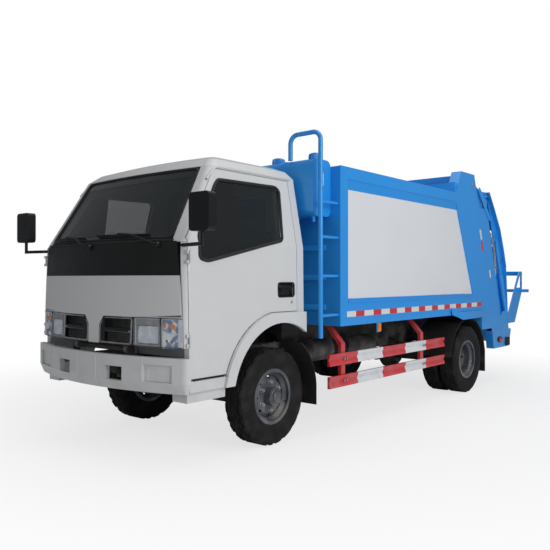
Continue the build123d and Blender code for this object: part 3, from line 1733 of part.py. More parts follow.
front_flap_angle = radians(front_guard_degrees[0])
rear_flap_angle = radians(rear_guard_degrees[0])
with BuildPart() as mudguards:
    for side in sides:
        rear_span = both(
            side, rear_outer_half + tyre_width / 2 - rear_guard_width, rear_outer_half + tyre_width / 2,
        )
        guard_arc(rear_axle_x, rear_guard_radius, rear_guard_degrees, rear_span, rear_guard_sheet)
        flap_x = rear_axle_x - rear_guard_radius * cos(rear_flap_angle) - rear_guard_sheet
        block(
            (flap_x, flap_x + rear_guard_sheet), rear_span,
            (rear_flap_low_z, tyre_radius + rear_guard_radius * sin(rear_flap_angle)),
        )
        front_span = both(
            side, front_track_half - tyre_width / 2, front_track_half - tyre_width / 2 + front_flap_width,
        )
        guard_arc(front_axle_x, front_guard_radius, front_guard_degrees, front_span, front_flap_sheet)
        flap_x = front_axle_x - front_guard_radius * cos(front_flap_angle) - front_flap_sheet
        block(
            (flap_x, flap_x + front_flap_sheet), front_span,
            (front_flap_low_z, tyre_radius + front_guard_radius * sin(front_flap_angle)),
        )
        stay_z = rail_bottom_z + front_flap_sheet * 4
        stay_x = front_axle_x - sqrt(front_guard_radius ** 2 - (stay_z - tyre_radius) ** 2)
        block(
            (stay_x - front_flap_sheet * 4, stay_x),
            both(side, rail_outer_half + fit_gap, front_track_half - tyre_width / 2 + overrun),
            (stay_z, stay_z + front_flap_sheet * 4),
        )
        block(
            (rear_axle_x - bearer_width / 2, rear_axle_x + bearer_width / 2),
            both(side, rear_outer_half, rear_outer_half + bearer_width),
            (tyre_radius + rear_guard_radius, box_bottom_z - fit_gap),
        )
mudguards.part.label = "mudguards"
export_step(mudguards.part, "parts/mudguards.step")


# Tailgate sides: inner plate, outer band skin, webs, hinge arms and the back flange
def tail_front_x(height):
    """Station of the tailgate's front plane at a height."""
    return rear_edge_x(height) - tail_gap


tail_back = [(past(distance), height) for distance, height in tail_back_edge]
tail_outline = [
    (past(tail_top_front_past), tail_top_front_z),
    (tail_front_x(tail_top_front_z - overrun * 3), tail_top_front_z - overrun * 3),
    (tail_front_x(tail_sill_top_z), tail_sill_top_z), (past(tail_sill_front_past), tail_sill_low_z),
    (past(tail_foot_rear_past), tail_sill_low_z), *tail_back,
]
lift_head = (past(lift_head_past), lift_head_z)
lift_foot = (past(lift_foot_past), lift_foot_z)
rail_up = (sin(radians(rail_tilt)), cos(radians(rail_tilt)))
packer_foot = (past(packer_foot_past), packer_foot_z)


def up_rail(point, distance):
    """The point a distance up the packer's sloping rails."""
    return (point[0] + rail_up[0] * distance, point[1] + rail_up[1] * distance)


def across_rail(point, distance):
    """The point a distance forward of the rail line, square to it."""
    return (point[0] + rail_up[1] * distance, point[1] - rail_up[0] * distance)


def rail_strip(start, end, width):
    """The outline of a straight strip along the rail direction between two points."""
    return [
        across_rail(start, width / 2), across_rail(end, width / 2),
        across_rail(end, -width / 2), across_rail(start, -width / 2),
    ]


packer_hinge = (past(hopper_centre_past), hopper_centre_z)
packer_ear = up_rail(packer_foot, packer_ear_up_rail)
band_top_z = lift_head_z - overrun

with BuildPart() as tailgate_sides:
    for side in sides:
        side_plate(tail_outline, both(side, tail_inner_half, tail_inner_half + tail_plate))
        band = [
            (tail_front_x(band_top_z), band_top_z), (tail_front_x(tail_sill_top_z), tail_sill_top_z),
            (tail_front_x(tail_sill_top_z) - tail_band_depth, tail_sill_top_z),
            (tail_front_x(band_top_z) - tail_band_depth, band_top_z),
        ]
        side_plate(band, both(side, tail_outer_half - tail_skin, tail_outer_half))
        web = [
            (tail_front_x(band_top_z) - tail_band_depth, band_top_z),
            (tail_front_x(tail_sill_top_z) - tail_band_depth, tail_sill_top_z),
            (tail_front_x(tail_sill_top_z) - tail_band_depth + tail_skin, tail_sill_top_z),
            (tail_front_x(band_top_z) - tail_band_depth + tail_skin, band_top_z),
        ]
        side_plate(web, both(side, tail_inner_half + tail_plate, tail_outer_half))
        back_inner = [(x + tail_skin, z - tail_skin / 2) for x, z in tail_back]
        side_plate(
            tail_back + back_inner[::-1],
            both(side, tail_inner_half + tail_plate, tail_inner_half + tail_back_flange),
        )
        sill = [
            (tail_front_x(tail_sill_top_z), tail_sill_top_z), (past(tail_sill_front_past), tail_sill_low_z),
            (past(tail_foot_rear_past), tail_sill_low_z), (tail_back[0][0] + tail_skin, tail_back[0][1]),
            (tail_back[0][0] + tail_skin, tail_sill_top_z),
        ]
        side_plate(sill, both(side, tail_inner_half + tail_plate, tail_outer_half))
        gusset = [(past(distance), height) for distance, height in tail_gusset]
        side_plate(gusset, both(side, tail_outer_half - tail_skin, tail_outer_half))
        for low in (lift_half - arm_gap / 2 - arm_plate, lift_half + arm_gap / 2):
            arm = [
                (hinge_x - hinge_boss_radius, hinge_z + hinge_boss_radius),
                (hinge_x + hinge_boss_radius, hinge_z + hinge_boss_radius / 2),
                (hinge_x + hinge_boss_radius, hinge_z - hinge_boss_radius / 2),
                (lift_head[0] + hinge_boss_radius * 2, lift_head[1] - hinge_boss_radius),
                (lift_head[0], lift_head[1] - hinge_boss_radius * 2),
                (lift_head[0] - hinge_boss_radius * 3, lift_head[1] - hinge_boss_radius * 2),
                (lift_head[0] - hinge_boss_radius * 3, lift_head[1] + hinge_boss_radius),
            ]
            side_plate(arm, both(side, low, low + arm_plate))
        spacer = [
            (lift_head[0] - hinge_boss_radius * 3, lift_head[1] + hinge_boss_radius),
            (lift_head[0] - hinge_boss_radius * 3, lift_head[1] - hinge_boss_radius * 2),
            (lift_head[0] - hinge_boss_radius * 2, lift_head[1] - hinge_boss_radius * 2),
            (lift_head[0] - hinge_boss_radius * 2, lift_head[1] + hinge_boss_radius),
        ]
        side_plate(spacer, both(side, tail_inner_half + tail_plate, lift_half + arm_gap / 2))
        bar(
            (hinge_x, side * (post_inner_half - arm_plate), hinge_z), (hinge_x, side * box_half, hinge_z),
            hinge_pin_radius,
        )
        slot = rail_strip(
            up_rail(packer_ear, -packer_ear_radius * 2),
            up_rail(packer_ear, packer_travel + packer_ear_radius * 2), slot_width
        )
        side_plate(
            slot, both(side, tail_inner_half - overrun, tail_inner_half + tail_plate + fit_gap),
            mode=Mode.SUBTRACT,
        )
        bar(
            (packer_foot[0], side * packer_cylinder_half, packer_foot[1]),
            (
                up_rail(packer_foot, packer_barrel_length)[0], side * packer_cylinder_half,
                up_rail(packer_foot, packer_barrel_length)[1],
            ),
            packer_barrel_radius,
        )
        bar(
            (packer_foot[0], side * (tail_inner_half + tail_plate), packer_foot[1]),
            (packer_foot[0], side * packer_cylinder_half, packer_foot[1]),
            packer_barrel_radius,
        )
        for share in barrel_strap_shares:
            x, z = up_rail(packer_foot, share * packer_barrel_length)
            bar(
                (x, side * (tail_inner_half + tail_plate), z), (x, side * packer_cylinder_half, z),
                packer_barrel_radius * barrel_strap_thickness_share,
            )
        bar(
            (
                up_rail(packer_foot, packer_rod_clear)[0], side * packer_cylinder_half,
                up_rail(packer_foot, packer_rod_clear)[1],
            ),
            (
                up_rail(packer_foot, packer_barrel_length + overrun)[0], side * packer_cylinder_half,
                up_rail(packer_foot, packer_barrel_length + overrun)[1],
            ),
            packer_rod_radius + fit_gap, mode=Mode.SUBTRACT,
        )
        for offset_share in (-1, 1):
            line = across_rail(packer_hinge, offset_share * (guide_gap + guide_bar) / 2)
            guide = rail_strip(
                up_rail(line, -guide_gap / 2), up_rail(line, packer_length + packer_travel), guide_bar,
            )
            side_plate(guide, both(side, tail_inner_half - guide_depth, tail_inner_half))
tailgate_sides.part.label = "tailgate_sides"
export_step(tailgate_sides.part, "parts/tailgate_sides.step")


# Hopper trough: a rolled sheet round the blade's sweep, up to the loading edge and to the container floor
with BuildPart() as hopper_trough:
    centre = packer_hinge
    lip_z = box_floor_z - tail_gap
    front_lip = (tail_front_x(lip_z), lip_z)
    outer_r = hopper_radius + hopper_sheet
    wall_lean = loading_edge_lean / (loading_edge_z - centre[1])
    with BuildSketch(Plane.XZ.offset(-(tail_inner_half - fit_gap))) as trough:
        with BuildLine():
            ThreePointArc(
                (centre[0] - hopper_radius, centre[1]), (centre[0], centre[1] - hopper_radius),
                (centre[0] + hopper_radius, centre[1])
            )
            Polyline(
                (centre[0] + hopper_radius, centre[1]), (front_lip[0] - hopper_sheet, front_lip[1]),
                front_lip,
                (centre[0] + outer_r, centre[1]),
            )
            ThreePointArc(
                (centre[0] + outer_r, centre[1]), (centre[0], centre[1] - outer_r),
                (centre[0] - outer_r, centre[1]),
            )
            Polyline(
                (centre[0] - outer_r, centre[1]), (centre[0] - outer_r - loading_edge_lean, loading_edge_z),
                (centre[0] - hopper_radius - loading_edge_lean, loading_edge_z),
                (centre[0] - hopper_radius, centre[1]),
            )
        make_face()
    extrude(trough.sketch, amount=2 * (tail_inner_half - fit_gap))
    for side in sides:
        root_z = loading_edge_z - overrun
        low_z = lifter_pivot_z - overrun * 3 / 2
        low_x = centre[0] - sqrt(outer_r**2 - (centre[1] - low_z) ** 2) + hopper_sheet / 2
        pivot_rear_x = past(lifter_pivot_past) - lifter_pivot_radius * 2
        bracket = [
            (centre[0] - outer_r - wall_lean * (root_z - centre[1]) + hopper_sheet / 2, root_z),
            (pivot_rear_x, lifter_pivot_z + lifter_pivot_radius * 2),
            (pivot_rear_x, lifter_pivot_z - lifter_pivot_radius * 2),
            (low_x, low_z), (centre[0] - outer_r + hopper_sheet / 2, centre[1]),
        ]
        side_plate(bracket, both(side, lifter_bracket_half - lifter_bracket_plate, lifter_bracket_half))
        bar(
            (past(lifter_pivot_past), side * lifter_bracket_half, lifter_pivot_z),
            (past(lifter_pivot_past), side * lifter_half, lifter_pivot_z),
            lifter_pivot_radius,
        )
hopper_trough.part.label = "hopper_trough"
export_step(hopper_trough.part, "parts/hopper_trough.step")


# Upper cover of the tailgate, between the side plates from the top down to the mouth
with BuildPart() as tailgate_cover:
    back = tail_back[::-1]
    cover_path = [
        (past(tail_top_front_past), tail_top_front_z - cover_sheet), (back[0][0], back[0][1] - cover_sheet),
        (back[1][0] + cover_sheet, back[1][1]), (back[2][0] + cover_sheet, back[2][1]),
    ]
    cover_inner = [(x + cover_sheet, z - cover_sheet) for x, z in cover_path]
    side_plate(cover_path + cover_inner[::-1], (-tail_inner_half + fit_gap, tail_inner_half - fit_gap))
tailgate_cover.part.label = "tailgate_cover"
export_step(tailgate_cover.part, "parts/tailgate_cover.step")


# Tailgate lift cylinders: barrels on the container's foot pins, rods up to the tailgate's arms
lift_run = hypot(lift_head[0] - lift_foot[0], lift_head[1] - lift_foot[1])
lift_direction = ((lift_head[0] - lift_foot[0]) / lift_run, (lift_head[1] - lift_foot[1]) / lift_run)


def along_lift(distance, side):
    """A point on the axis of a lift cylinder, counted from its foot pin."""
    return (
        lift_foot[0] + lift_direction[0] * distance, side * lift_half,
        lift_foot[1] + lift_direction[1] * distance,
    )


with BuildPart() as lift_barrels:
    for side in sides:
        x, y, z = along_lift(0, side)
        bar((x, y - lift_foot_width / 2, z), (x, y + lift_foot_width / 2, z), lift_eye_radius)
        bar(along_lift(0, side), along_lift(lift_barrel_length, side), lift_barrel_radius)
        bar((x, y - overrun, z), (x, y + overrun, z), lift_pin_radius + fit_gap, mode=Mode.SUBTRACT)
        bar(
            along_lift(lift_run - lift_eye_radius - lift_rod_engaged - lift_barrel_radius * 4, side),
            along_lift(lift_barrel_length + overrun, side),
            lift_rod_radius + fit_gap, mode=Mode.SUBTRACT,
        )
lift_barrels.part.label = "lift_barrels"
export_step(lift_barrels.part, "parts/lift_barrels.step")

with BuildPart() as lift_rods:
    for side in sides:
        x, y, z = along_lift(lift_run, side)
        bar(
            along_lift(lift_run - lift_eye_radius - lift_rod_engaged, side), along_lift(lift_run, side),
            lift_rod_radius,
        )
        bar((x, y - lift_eye_width / 2, z), (x, y + lift_eye_width / 2, z), lift_eye_radius)
        for face in (-1, 1):
            low = lift_half + face * lift_eye_width / 2
            high = lift_half + face * lift_eye_width * 2
            block(
                (lift_head[0] - lift_eye_radius * 2, lift_head[0] + lift_eye_radius * 2),
                both(side, low, high),
                (lift_head[1] - lift_eye_radius * 5, lift_head[1] + lift_eye_radius * 2),
                mode=Mode.SUBTRACT,
            )
lift_rods.part.label = "lift_rods"
export_step(lift_rods.part, "parts/lift_rods.step")


# Packer carriage: a ribbed plate on guide pads, with ears out through the side slots to the cylinder rods
with BuildPart() as packer_carriage:
    plate = rail_strip(
        up_rail(packer_hinge, blade_pivot_radius * 2), up_rail(packer_hinge, packer_length), packer_plate,
    )
    side_plate(plate, (-packer_half, packer_half))
    for share in packer_rib_shares:
        rib_at = up_rail(packer_hinge, share * packer_length)
        rib = rail_strip(up_rail(rib_at, -packer_plate), up_rail(rib_at, packer_plate), packer_rib)
        side_plate(rib, (-packer_half, packer_half))
    for side in sides:
        for share in packer_pad_shares:
            pad_at = up_rail(packer_hinge, share * packer_length)
            pad = rail_strip(
                up_rail(pad_at, -guide_pad_length / 2), up_rail(pad_at, guide_pad_length / 2),
                guide_gap - 2 * fit_gap,
            )
            side_plate(pad, both(side, packer_half - overrun, tail_inner_half - joint_gap))
        ear = [
            across_rail(up_rail(packer_hinge, packer_length * packer_ear_root_share), -packer_plate / 2),
            across_rail(up_rail(packer_hinge, packer_length), -packer_plate / 2),
            up_rail(packer_ear, packer_ear_radius), across_rail(packer_ear, -packer_ear_radius),
            up_rail(packer_ear, -packer_ear_radius),
        ]
        side_plate(ear, both(side, packer_half - packer_rib, packer_half - guide_depth))
        bar(
            (packer_ear[0], side * (packer_half - packer_rib), packer_ear[1]),
            (packer_ear[0], side * (packer_cylinder_half + packer_rod_radius), packer_ear[1]),
            packer_ear_radius * packer_ear_pin_share,
        )
        rod_foot = up_rail(packer_ear, -packer_ear_up_rail + packer_rod_clear + joint_gap)
        bar(
            (rod_foot[0], side * packer_cylinder_half, rod_foot[1]),
            (packer_ear[0], side * packer_cylinder_half, packer_ear[1]),
            packer_rod_radius,
        )
    for share in packer_lug_shares:
        y = share * packer_half
        lug = [
            up_rail(packer_hinge, blade_pivot_radius * 3), across_rail(packer_hinge, blade_pivot_radius),
            up_rail(packer_hinge, -blade_pivot_radius), across_rail(packer_hinge, -blade_pivot_radius),
        ]
        side_plate(lug, (y - packer_plate / 2, y + packer_plate / 2))
    bar(
        (packer_hinge[0], -packer_half, packer_hinge[1]), (packer_hinge[0], packer_half, packer_hinge[1]),
        blade_pivot_radius * blade_shaft_share,
    )
packer_carriage.part.label = "packer_carriage"
export_step(packer_carriage.part, "parts/packer_carriage.step")


# Sweeper blade: a curved-back plate on sleeves round the carriage's pivot shaft
rest_turn = radians(-90 - rail_tilt - blade_rest_degrees)
blade_line = (cos(rest_turn), sin(rest_turn))
blade_square = (-blade_line[1], blade_line[0])


def blade_point(along, square):
    """A point on the blade's own plane, along it from the pivot and square to it."""
    return (
        packer_hinge[0] + blade_line[0] * along + blade_square[0] * square,
        packer_hinge[1] + blade_line[1] * along + blade_square[1] * square,
    )


with BuildPart() as sweeper_blade:
    blade = [
        blade_point(0, -blade_plate / 2), blade_point(blade_reach - blade_plate, -blade_plate / 2),
        blade_point(blade_reach, 0), blade_point(blade_reach - blade_plate, blade_plate / 2),
        blade_point(0, blade_plate / 2),
    ]
    side_plate(blade, (-packer_half, packer_half))
    for low_share, high_share in sweeper_sleeve_shares:
        bar(
            (packer_hinge[0], low_share * packer_half, packer_hinge[1]),
            (packer_hinge[0], high_share * packer_half, packer_hinge[1]),
            blade_pivot_radius,
        )
    for share in packer_lug_shares:
        y = share * packer_half
        reach = blade_pivot_radius * 2
        block(
            (packer_hinge[0] - reach, packer_hinge[0] + reach),
            (y - packer_plate / 2 - joint_gap, y + packer_plate / 2 + joint_gap),
            (packer_hinge[1] - reach, packer_hinge[1] + reach), mode=Mode.SUBTRACT,
        )
    bar(
        (packer_hinge[0], -packer_half - overrun, packer_hinge[1]),
        (packer_hinge[0], packer_half + overrun, packer_hinge[1]),
        blade_pivot_radius * blade_shaft_share + fit_gap, mode=Mode.SUBTRACT,
    )
sweeper_blade.part.label = "sweeper_blade"
export_step(sweeper_blade.part, "parts/sweeper_blade.step")


# Bin lifter: two leaning side plates on the pivot pins, joined by a top bar, a shaft and a foot bar
with BuildPart() as bin_lifter:
    pivot_x = past(lifter_pivot_past)
    for side in sides:
        plate = [
            (lifter_tip_x, lifter_top_z), (lifter_tip_x + lifter_width_top, lifter_top_z),
            (pivot_x + lifter_pivot_radius * 2, lifter_pivot_z + lifter_pivot_radius * 2),
            (pivot_x + lifter_pivot_radius * 2, lifter_foot_z),
            (pivot_x - lifter_width_foot, lifter_foot_z), (lifter_tip_x, lifter_shaft_z),
        ]
        side_plate(plate, both(side, lifter_half - lifter_plate, lifter_half))
        window_z = (lifter_shaft_z + lifter_bar * 3 / 4, lifter_top_z - lifter_bar)
        window = [
            (lifter_tip_x + lifter_bar * 3 / 4, window_z[0]),
            (lifter_tip_x + lifter_bar * 3 / 4, window_z[1]),
            (lifter_tip_x + lifter_bar * 3 / 2, window_z[1]),
            (lifter_tip_x + lifter_width_top * 2, window_z[0]),
        ]
        side_plate(
            window, both(side, lifter_half - lifter_plate * 2, lifter_half + lifter_plate),
            mode=Mode.SUBTRACT,
        )
        bar(
            (pivot_x, side * (lifter_half - overrun), lifter_pivot_z),
            (pivot_x, side * (lifter_half + overrun), lifter_pivot_z),
            lifter_pivot_radius + fit_gap, mode=Mode.SUBTRACT,
        )
        bar(
            (lifter_tip_x + lifter_bar / 2, side * lifter_half, lifter_shaft_z),
            (lifter_tip_x + lifter_bar / 2, side * (lifter_half + lifter_stub), lifter_shaft_z),
            lifter_shaft_radius,
        )
    span = (-lifter_half + lifter_plate, lifter_half - lifter_plate)
    block((lifter_tip_x, lifter_tip_x + lifter_bar), span, (lifter_top_z - lifter_bar, lifter_top_z))
    bar(
        (lifter_tip_x + lifter_bar / 2, span[0], lifter_shaft_z),
        (lifter_tip_x + lifter_bar / 2, span[1], lifter_shaft_z), lifter_shaft_radius,
    )
    block(
        (pivot_x - lifter_width_foot + lifter_bar / 2, pivot_x - lifter_width_foot + lifter_bar * 3 / 2),
        span, (lifter_foot_z, lifter_foot_z + lifter_bar),
    )
bin_lifter.part.label = "bin_lifter"
export_step(bin_lifter.part, "parts/bin_lifter.step")


# Ejector plate: a sloping push panel on two legs that slide along the container floor
with BuildPart() as ejector_plate:
    front = behind(ejector_front_behind)
    lean = rear_slope_share * (ejector_top_z - ejector_low_z)
    panel = [
        (front - ejector_depth, ejector_low_z), (front - ejector_depth + ejector_sheet, ejector_low_z),
        (front - ejector_depth + ejector_sheet + lean, ejector_top_z),
        (front - ejector_depth + lean, ejector_top_z),
    ]
    side_plate(panel, (-ejector_half, ejector_half))
    for share in ejector_web_shares:
        y = share * ejector_half
        foot_z = box_floor_z + fit_gap
        web = [
            (front - ejector_depth + ejector_sheet / 2, foot_z),
            (front - ejector_depth + ejector_sheet / 2 + lean, ejector_top_z - ejector_sheet),
            (front, foot_z + ejector_sheet * 2), (front, foot_z),
        ]
        side_plate(web, (y - ejector_sheet / 4, y + ejector_sheet / 4))
ejector_plate.part.label = "ejector_plate"
export_step(ejector_plate.part, "parts/ejector_plate.step")
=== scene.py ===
"""Looks for a rear-loading compactor refuse truck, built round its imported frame."""

import math
from contextlib import contextmanager

import bmesh
import bpy
from mathutils import Matrix, Vector

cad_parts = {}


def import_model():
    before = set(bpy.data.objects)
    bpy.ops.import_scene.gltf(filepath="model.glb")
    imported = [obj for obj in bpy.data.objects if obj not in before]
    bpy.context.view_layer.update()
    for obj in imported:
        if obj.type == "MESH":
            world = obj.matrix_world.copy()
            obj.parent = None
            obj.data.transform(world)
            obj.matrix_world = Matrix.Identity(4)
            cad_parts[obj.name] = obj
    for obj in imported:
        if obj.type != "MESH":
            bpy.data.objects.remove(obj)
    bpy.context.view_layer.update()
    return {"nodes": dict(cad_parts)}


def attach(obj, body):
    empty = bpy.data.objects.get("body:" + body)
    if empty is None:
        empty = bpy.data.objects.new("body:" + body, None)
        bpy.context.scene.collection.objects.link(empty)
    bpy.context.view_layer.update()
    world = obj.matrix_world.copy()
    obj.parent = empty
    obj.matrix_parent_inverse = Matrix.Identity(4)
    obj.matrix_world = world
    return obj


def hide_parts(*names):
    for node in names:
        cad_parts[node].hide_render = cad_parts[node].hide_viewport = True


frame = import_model()

bl_info = {
    "name": "Compactor refuse truck",
    "version": (1, 0, 0),
    "blender": (4, 5, 0),
    "location": "3D View > Sidebar > Refuse truck",
    "description": "Finishes and fittings of a rear-loading compactor refuse truck",
    "category": "Object",
}

SIDES = (1, -1)
NAMED_SIDES = ((1, "left"), (-1, "right"))
X_AXIS, Y_AXIS, Z_AXIS = Vector((1, 0, 0)), Vector((0, 1, 0)), Vector((0, 0, 1))
FRONT_AXLE_X = 2.155
REAR_AXLE_X = -1.145
TYRE_RADIUS = 0.3875
AXLE_Z = TYRE_RADIUS


def ahead(distance):
    """Station a distance ahead of the front axle."""
    return FRONT_AXLE_X + distance


# Where rays start beside, before and behind the truck
FAR_SIDE_Y = 1.6
FAR_FRONT_X = ahead(2.5)
FAR_BACK_X = -5

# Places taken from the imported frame's own dimensions
PANEL_FRONT_X = 1.3905
WHEEL_STUDS = 6
STUD_CIRCLE_RADIUS = 0.11125
GUARD_BLOCK = 0.4392
CONTAINER_SIDE_Y = 1.0506
DOOR_WINDOW = (
    (-0.055, 1.640), (0.760, 1.462), (0.838, 1.480), (0.838, 1.640), (0.624, 2.000),
    (0.580, 2.050), (-0.060, 2.065), (-0.100, 2.035),
)
WINDSCREEN = (
    (-0.756, 1.617), (-0.4, 1.617), (0, 1.617), (0.4, 1.617), (0.756, 1.617), (0.722, 1.88),
    (0.690, 2.144), (0.35, 2.144), (0, 2.144), (-0.35, 2.144), (-0.690, 2.144), (-0.722, 1.88),
)
DRIP_RAIL = ((-0.28, 2.160), (0.2, 2.160), (0.56, 2.158), (0.60, 2.152), (0.645, 2.105), (0.69, 2.052))
PILLAR_SLOT = ((2.812, 2.088), (2.848, 2.050))
LAMP_CURVE = (
    (0.440, 3.2310), (0.46, 3.2258), (0.50, 3.2205), (0.60, 3.2060), (0.70, 3.1880), (0.80, 3.1678),
    (0.86, 3.1530), (0.88, 3.1465),
)
# Name, body, tyre's node, rim's node, axle's station, side, middles of the tyres across
WHEELS = (
    ("front_left", "front_left_wheel", "front_tyre_left", "front_rim_left", FRONT_AXLE_X, 1, (0.760,)),
    ("front_right", "front_right_wheel", "front_tyre_right", "front_rim_right", FRONT_AXLE_X, -1,
     (0.760,)),
    ("rear_left", "rear_left_wheels", "rear_tyres_left", "rear_rims_left", REAR_AXLE_X, 1,
     (0.718, 0.943)),
    ("rear_right", "rear_right_wheels", "rear_tyres_right", "rear_rims_right", REAR_AXLE_X, -1,
     (0.718, 0.943)),
)


# Sizes and colours that a user would change


def colour(name, text, default):
    return bpy.props.FloatVectorProperty(
        name=name, description=text, default=default, size=3, subtype="COLOR", min=0, max=1
    )


def length(name, text, default):
    return bpy.props.FloatProperty(
        name=name, description=text, default=default, min=0, unit="LENGTH", precision=4
    )


def power(name, text, default):
    return bpy.props.FloatProperty(name=name, description=text, default=default, min=0, unit="POWER")


class PaintSettings(bpy.types.PropertyGroup):
    cab: colour("Cab", "White of the cab, doors and bumper", (0.66, 0.67, 0.67))
    body: colour("Body", "Blue of the container and tailgate", (0.018, 0.300, 0.80))
    panel: colour("Panel", "White of the container's side panels", (0.74, 0.76, 0.79))
    guard: colour("Guard red", "Red of the side guards' bars and posts", (0.60, 0.035, 0.045))
    chassis: colour("Chassis", "Black of the frame and axles", (0.018, 0.018, 0.020))
    rim: colour("Rims", "Grey of the wheel rims", (0.050, 0.060, 0.078))


class TyreSettings(bpy.types.PropertyGroup):
    steps: bpy.props.IntProperty(
        name="Steps", description="Tread steps round one tyre", default=66, min=24, max=120
    )
    tread_depth: length("Tread depth", "Depth of the grooves between the ribs", 0.0085)
    zigzag: length("Zigzag", "Sideways swing of the grooves", 0.0035)


class TrimSettings(bpy.types.PropertyGroup):
    seal_radius: length("Seal radius", "Half the thickness of the window rubber", 0.013)
    tape_height: length("Tape height", "Height of the reflective tape", 0.05)
    bolt_radius: length("Bolt radius", "Half the width of the common bolt heads", 0.011)


class LightSettings(bpy.types.PropertyGroup):
    key: power("Key", "Power of the lamp on the kerb side", 450)
    top: power("Top", "Power of the lamp overhead", 330)
    sky: bpy.props.FloatProperty(
        name="Sky", description="Strength of the even light all round", default=0.23, min=0
    )


def settings(name):
    """The user's settings of one group, kept on the scene."""
    return getattr(bpy.context.scene, "truck_" + name)


# Shader arithmetic


class Field:
    """A socket's value, on which Python's own operators add the nodes."""

    def __init__(self, finish, socket):
        self.finish, self.socket = finish, socket

    def maths(self, operation, *values):
        return self.finish.node("ShaderNodeMath", {"operation": operation}, dict(enumerate(values)))

    def __add__(self, other):
        return self.maths("ADD", self, other)

    __radd__ = __add__

    def __mul__(self, other):
        return self.maths("MULTIPLY", self, other)

    def __sub__(self, other):
        return self.maths("SUBTRACT", self, other)

    def __rsub__(self, other):
        return self.maths("SUBTRACT", other, self)

    def __truediv__(self, other):
        return self.maths("DIVIDE", self, other)

    def __gt__(self, other):
        return self.maths("GREATER_THAN", self, other)

    def __abs__(self):
        return self.maths("ABSOLUTE", self)

    def __mod__(self, other):
        return self.maths("FLOORED_MODULO", self, other)


FINISHES = {}


class Finish:
    """One procedural material, built on its Principled shader."""

    def __init__(self, name, roughness=0.5, metallic=0.0, coat=0.0, specular=0.5):
        packed = bpy.data.materials.get(name)
        if packed:
            packed.name = "packed_" + name
        self.material = FINISHES[name] = bpy.data.materials.new(name)
        self.material.use_nodes = True
        self.tree = self.material.node_tree
        self.shader = self.tree.nodes["Principled BSDF"]
        self.set("Roughness", roughness)
        self.set("Metallic", metallic)
        self.set("Coat Weight", coat)
        self.set("Specular IOR Level", specular)
        self.place = self.node("ShaderNodeTexCoord", output="Object")

    def node(self, kind, options=None, inputs=None, output=0):
        """Adds one node: its options first, then the values or links of its sockets."""
        made = self.tree.nodes.new(kind)
        for key, value in (options or {}).items():
            setattr(made, key, value)
        for key, value in (inputs or {}).items():
            if isinstance(value, Field):
                self.tree.links.new(value.socket, made.inputs[key])
            else:
                made.inputs[key].default_value = value
        return Field(self, made.outputs[output])

    def set(self, socket, value):
        if isinstance(value, Field):
            self.tree.links.new(value.socket, self.shader.inputs[socket])
        else:
            self.shader.inputs[socket].default_value = value

    def axis(self, name):
        return self.node("ShaderNodeSeparateXYZ", inputs={0: self.place}, output=name)

    def texture(self, kind, options=None, **inputs):
        return self.node("ShaderNodeTex" + kind, options, {"Vector": self.place, **inputs})

    def noise(self, scale, detail):
        return self.texture("Noise", Scale=scale, Detail=detail)

    def cells(self, scale, feature="DISTANCE_TO_EDGE"):
        return self.texture("Voronoi", {"feature": feature}, Scale=scale)

    def waves(self, scale, direction, distortion=0.0):
        return self.texture("Wave", {"bands_direction": direction}, Scale=scale, Distortion=distortion)

    def mix(self, factor, first, second):
        """A colour between two colours."""
        first, second = [c if isinstance(c, Field) else (*c, 1.0) for c in (first, second)]
        return self.node(
            "ShaderNodeMix", {"data_type": "RGBA"}, {0: factor, 6: first, 7: second}, output=2
        )

    def ramp(self, value, low, high):
        """Zero below low, one above high and smooth between."""
        return self.node(
            "ShaderNodeMapRange",
            {"interpolation_type": "SMOOTHSTEP"},
            {"Value": value, "From Min": low, "From Max": high},
        )

    def look(self, factor, first, second, roughness=None, relief=None):
        """Sets a colour between two, a roughness, and a relief (height, distance, strength)."""
        self.set("Base Color", self.mix(factor, first, second))
        if roughness:
            self.set("Roughness", roughness)
        if relief:
            inputs = dict(zip(("Height", "Distance", "Strength"), relief))
            self.set("Normal", self.node("ShaderNodeBump", inputs=inputs))


def shade(tone, factor):
    return tuple(min(1.0, c * factor) for c in tone)


def painted(name, tone, roughness=0.32, coat=0.35, dust=0.35, dust_top=1.1, ends=None):
    """Sprayed gloss paint with faint orange peel and road dust low down."""
    finish = Finish(name, coat=coat)
    at_end = finish.axis("X") > PANEL_FRONT_X
    patches = finish.noise(1.7, 4.0)
    low_down = 1 - finish.ramp(finish.axis("Z"), 0.15, dust_top)
    film = low_down * finish.ramp(finish.noise(7, 6.0), 0.35, 0.75) * dust
    darker, lighter = [
        finish.mix(at_end, shade(tone, factor), shade(ends or tone, factor)) for factor in (0.95, 1.04)
    ]
    finish.look(
        film, finish.mix(patches, darker, lighter), (0.36, 0.33, 0.29),
        film * 0.4 + roughness + patches * 0.05, (finish.noise(260, 1.0), 0.0004, 0.35),
    )


def make_paints():
    paint = settings("paint")
    body = tuple(paint.body)
    painted("cab_paint", tuple(paint.cab))
    painted("body_blue", body, roughness=0.3, dust=0.3)
    painted("body_panel", tuple(paint.panel), roughness=0.38, coat=0.2, dust=0.2, ends=body)
    painted("tank_paint", body, roughness=0.28, dust=0.2)
    painted("frame_black", tuple(paint.chassis), roughness=0.5, coat=0.1, dust=0.55, dust_top=1.4)
    painted("rim_paint", tuple(paint.rim), roughness=0.42, coat=0.15, dust=0.5, dust_top=0.8)


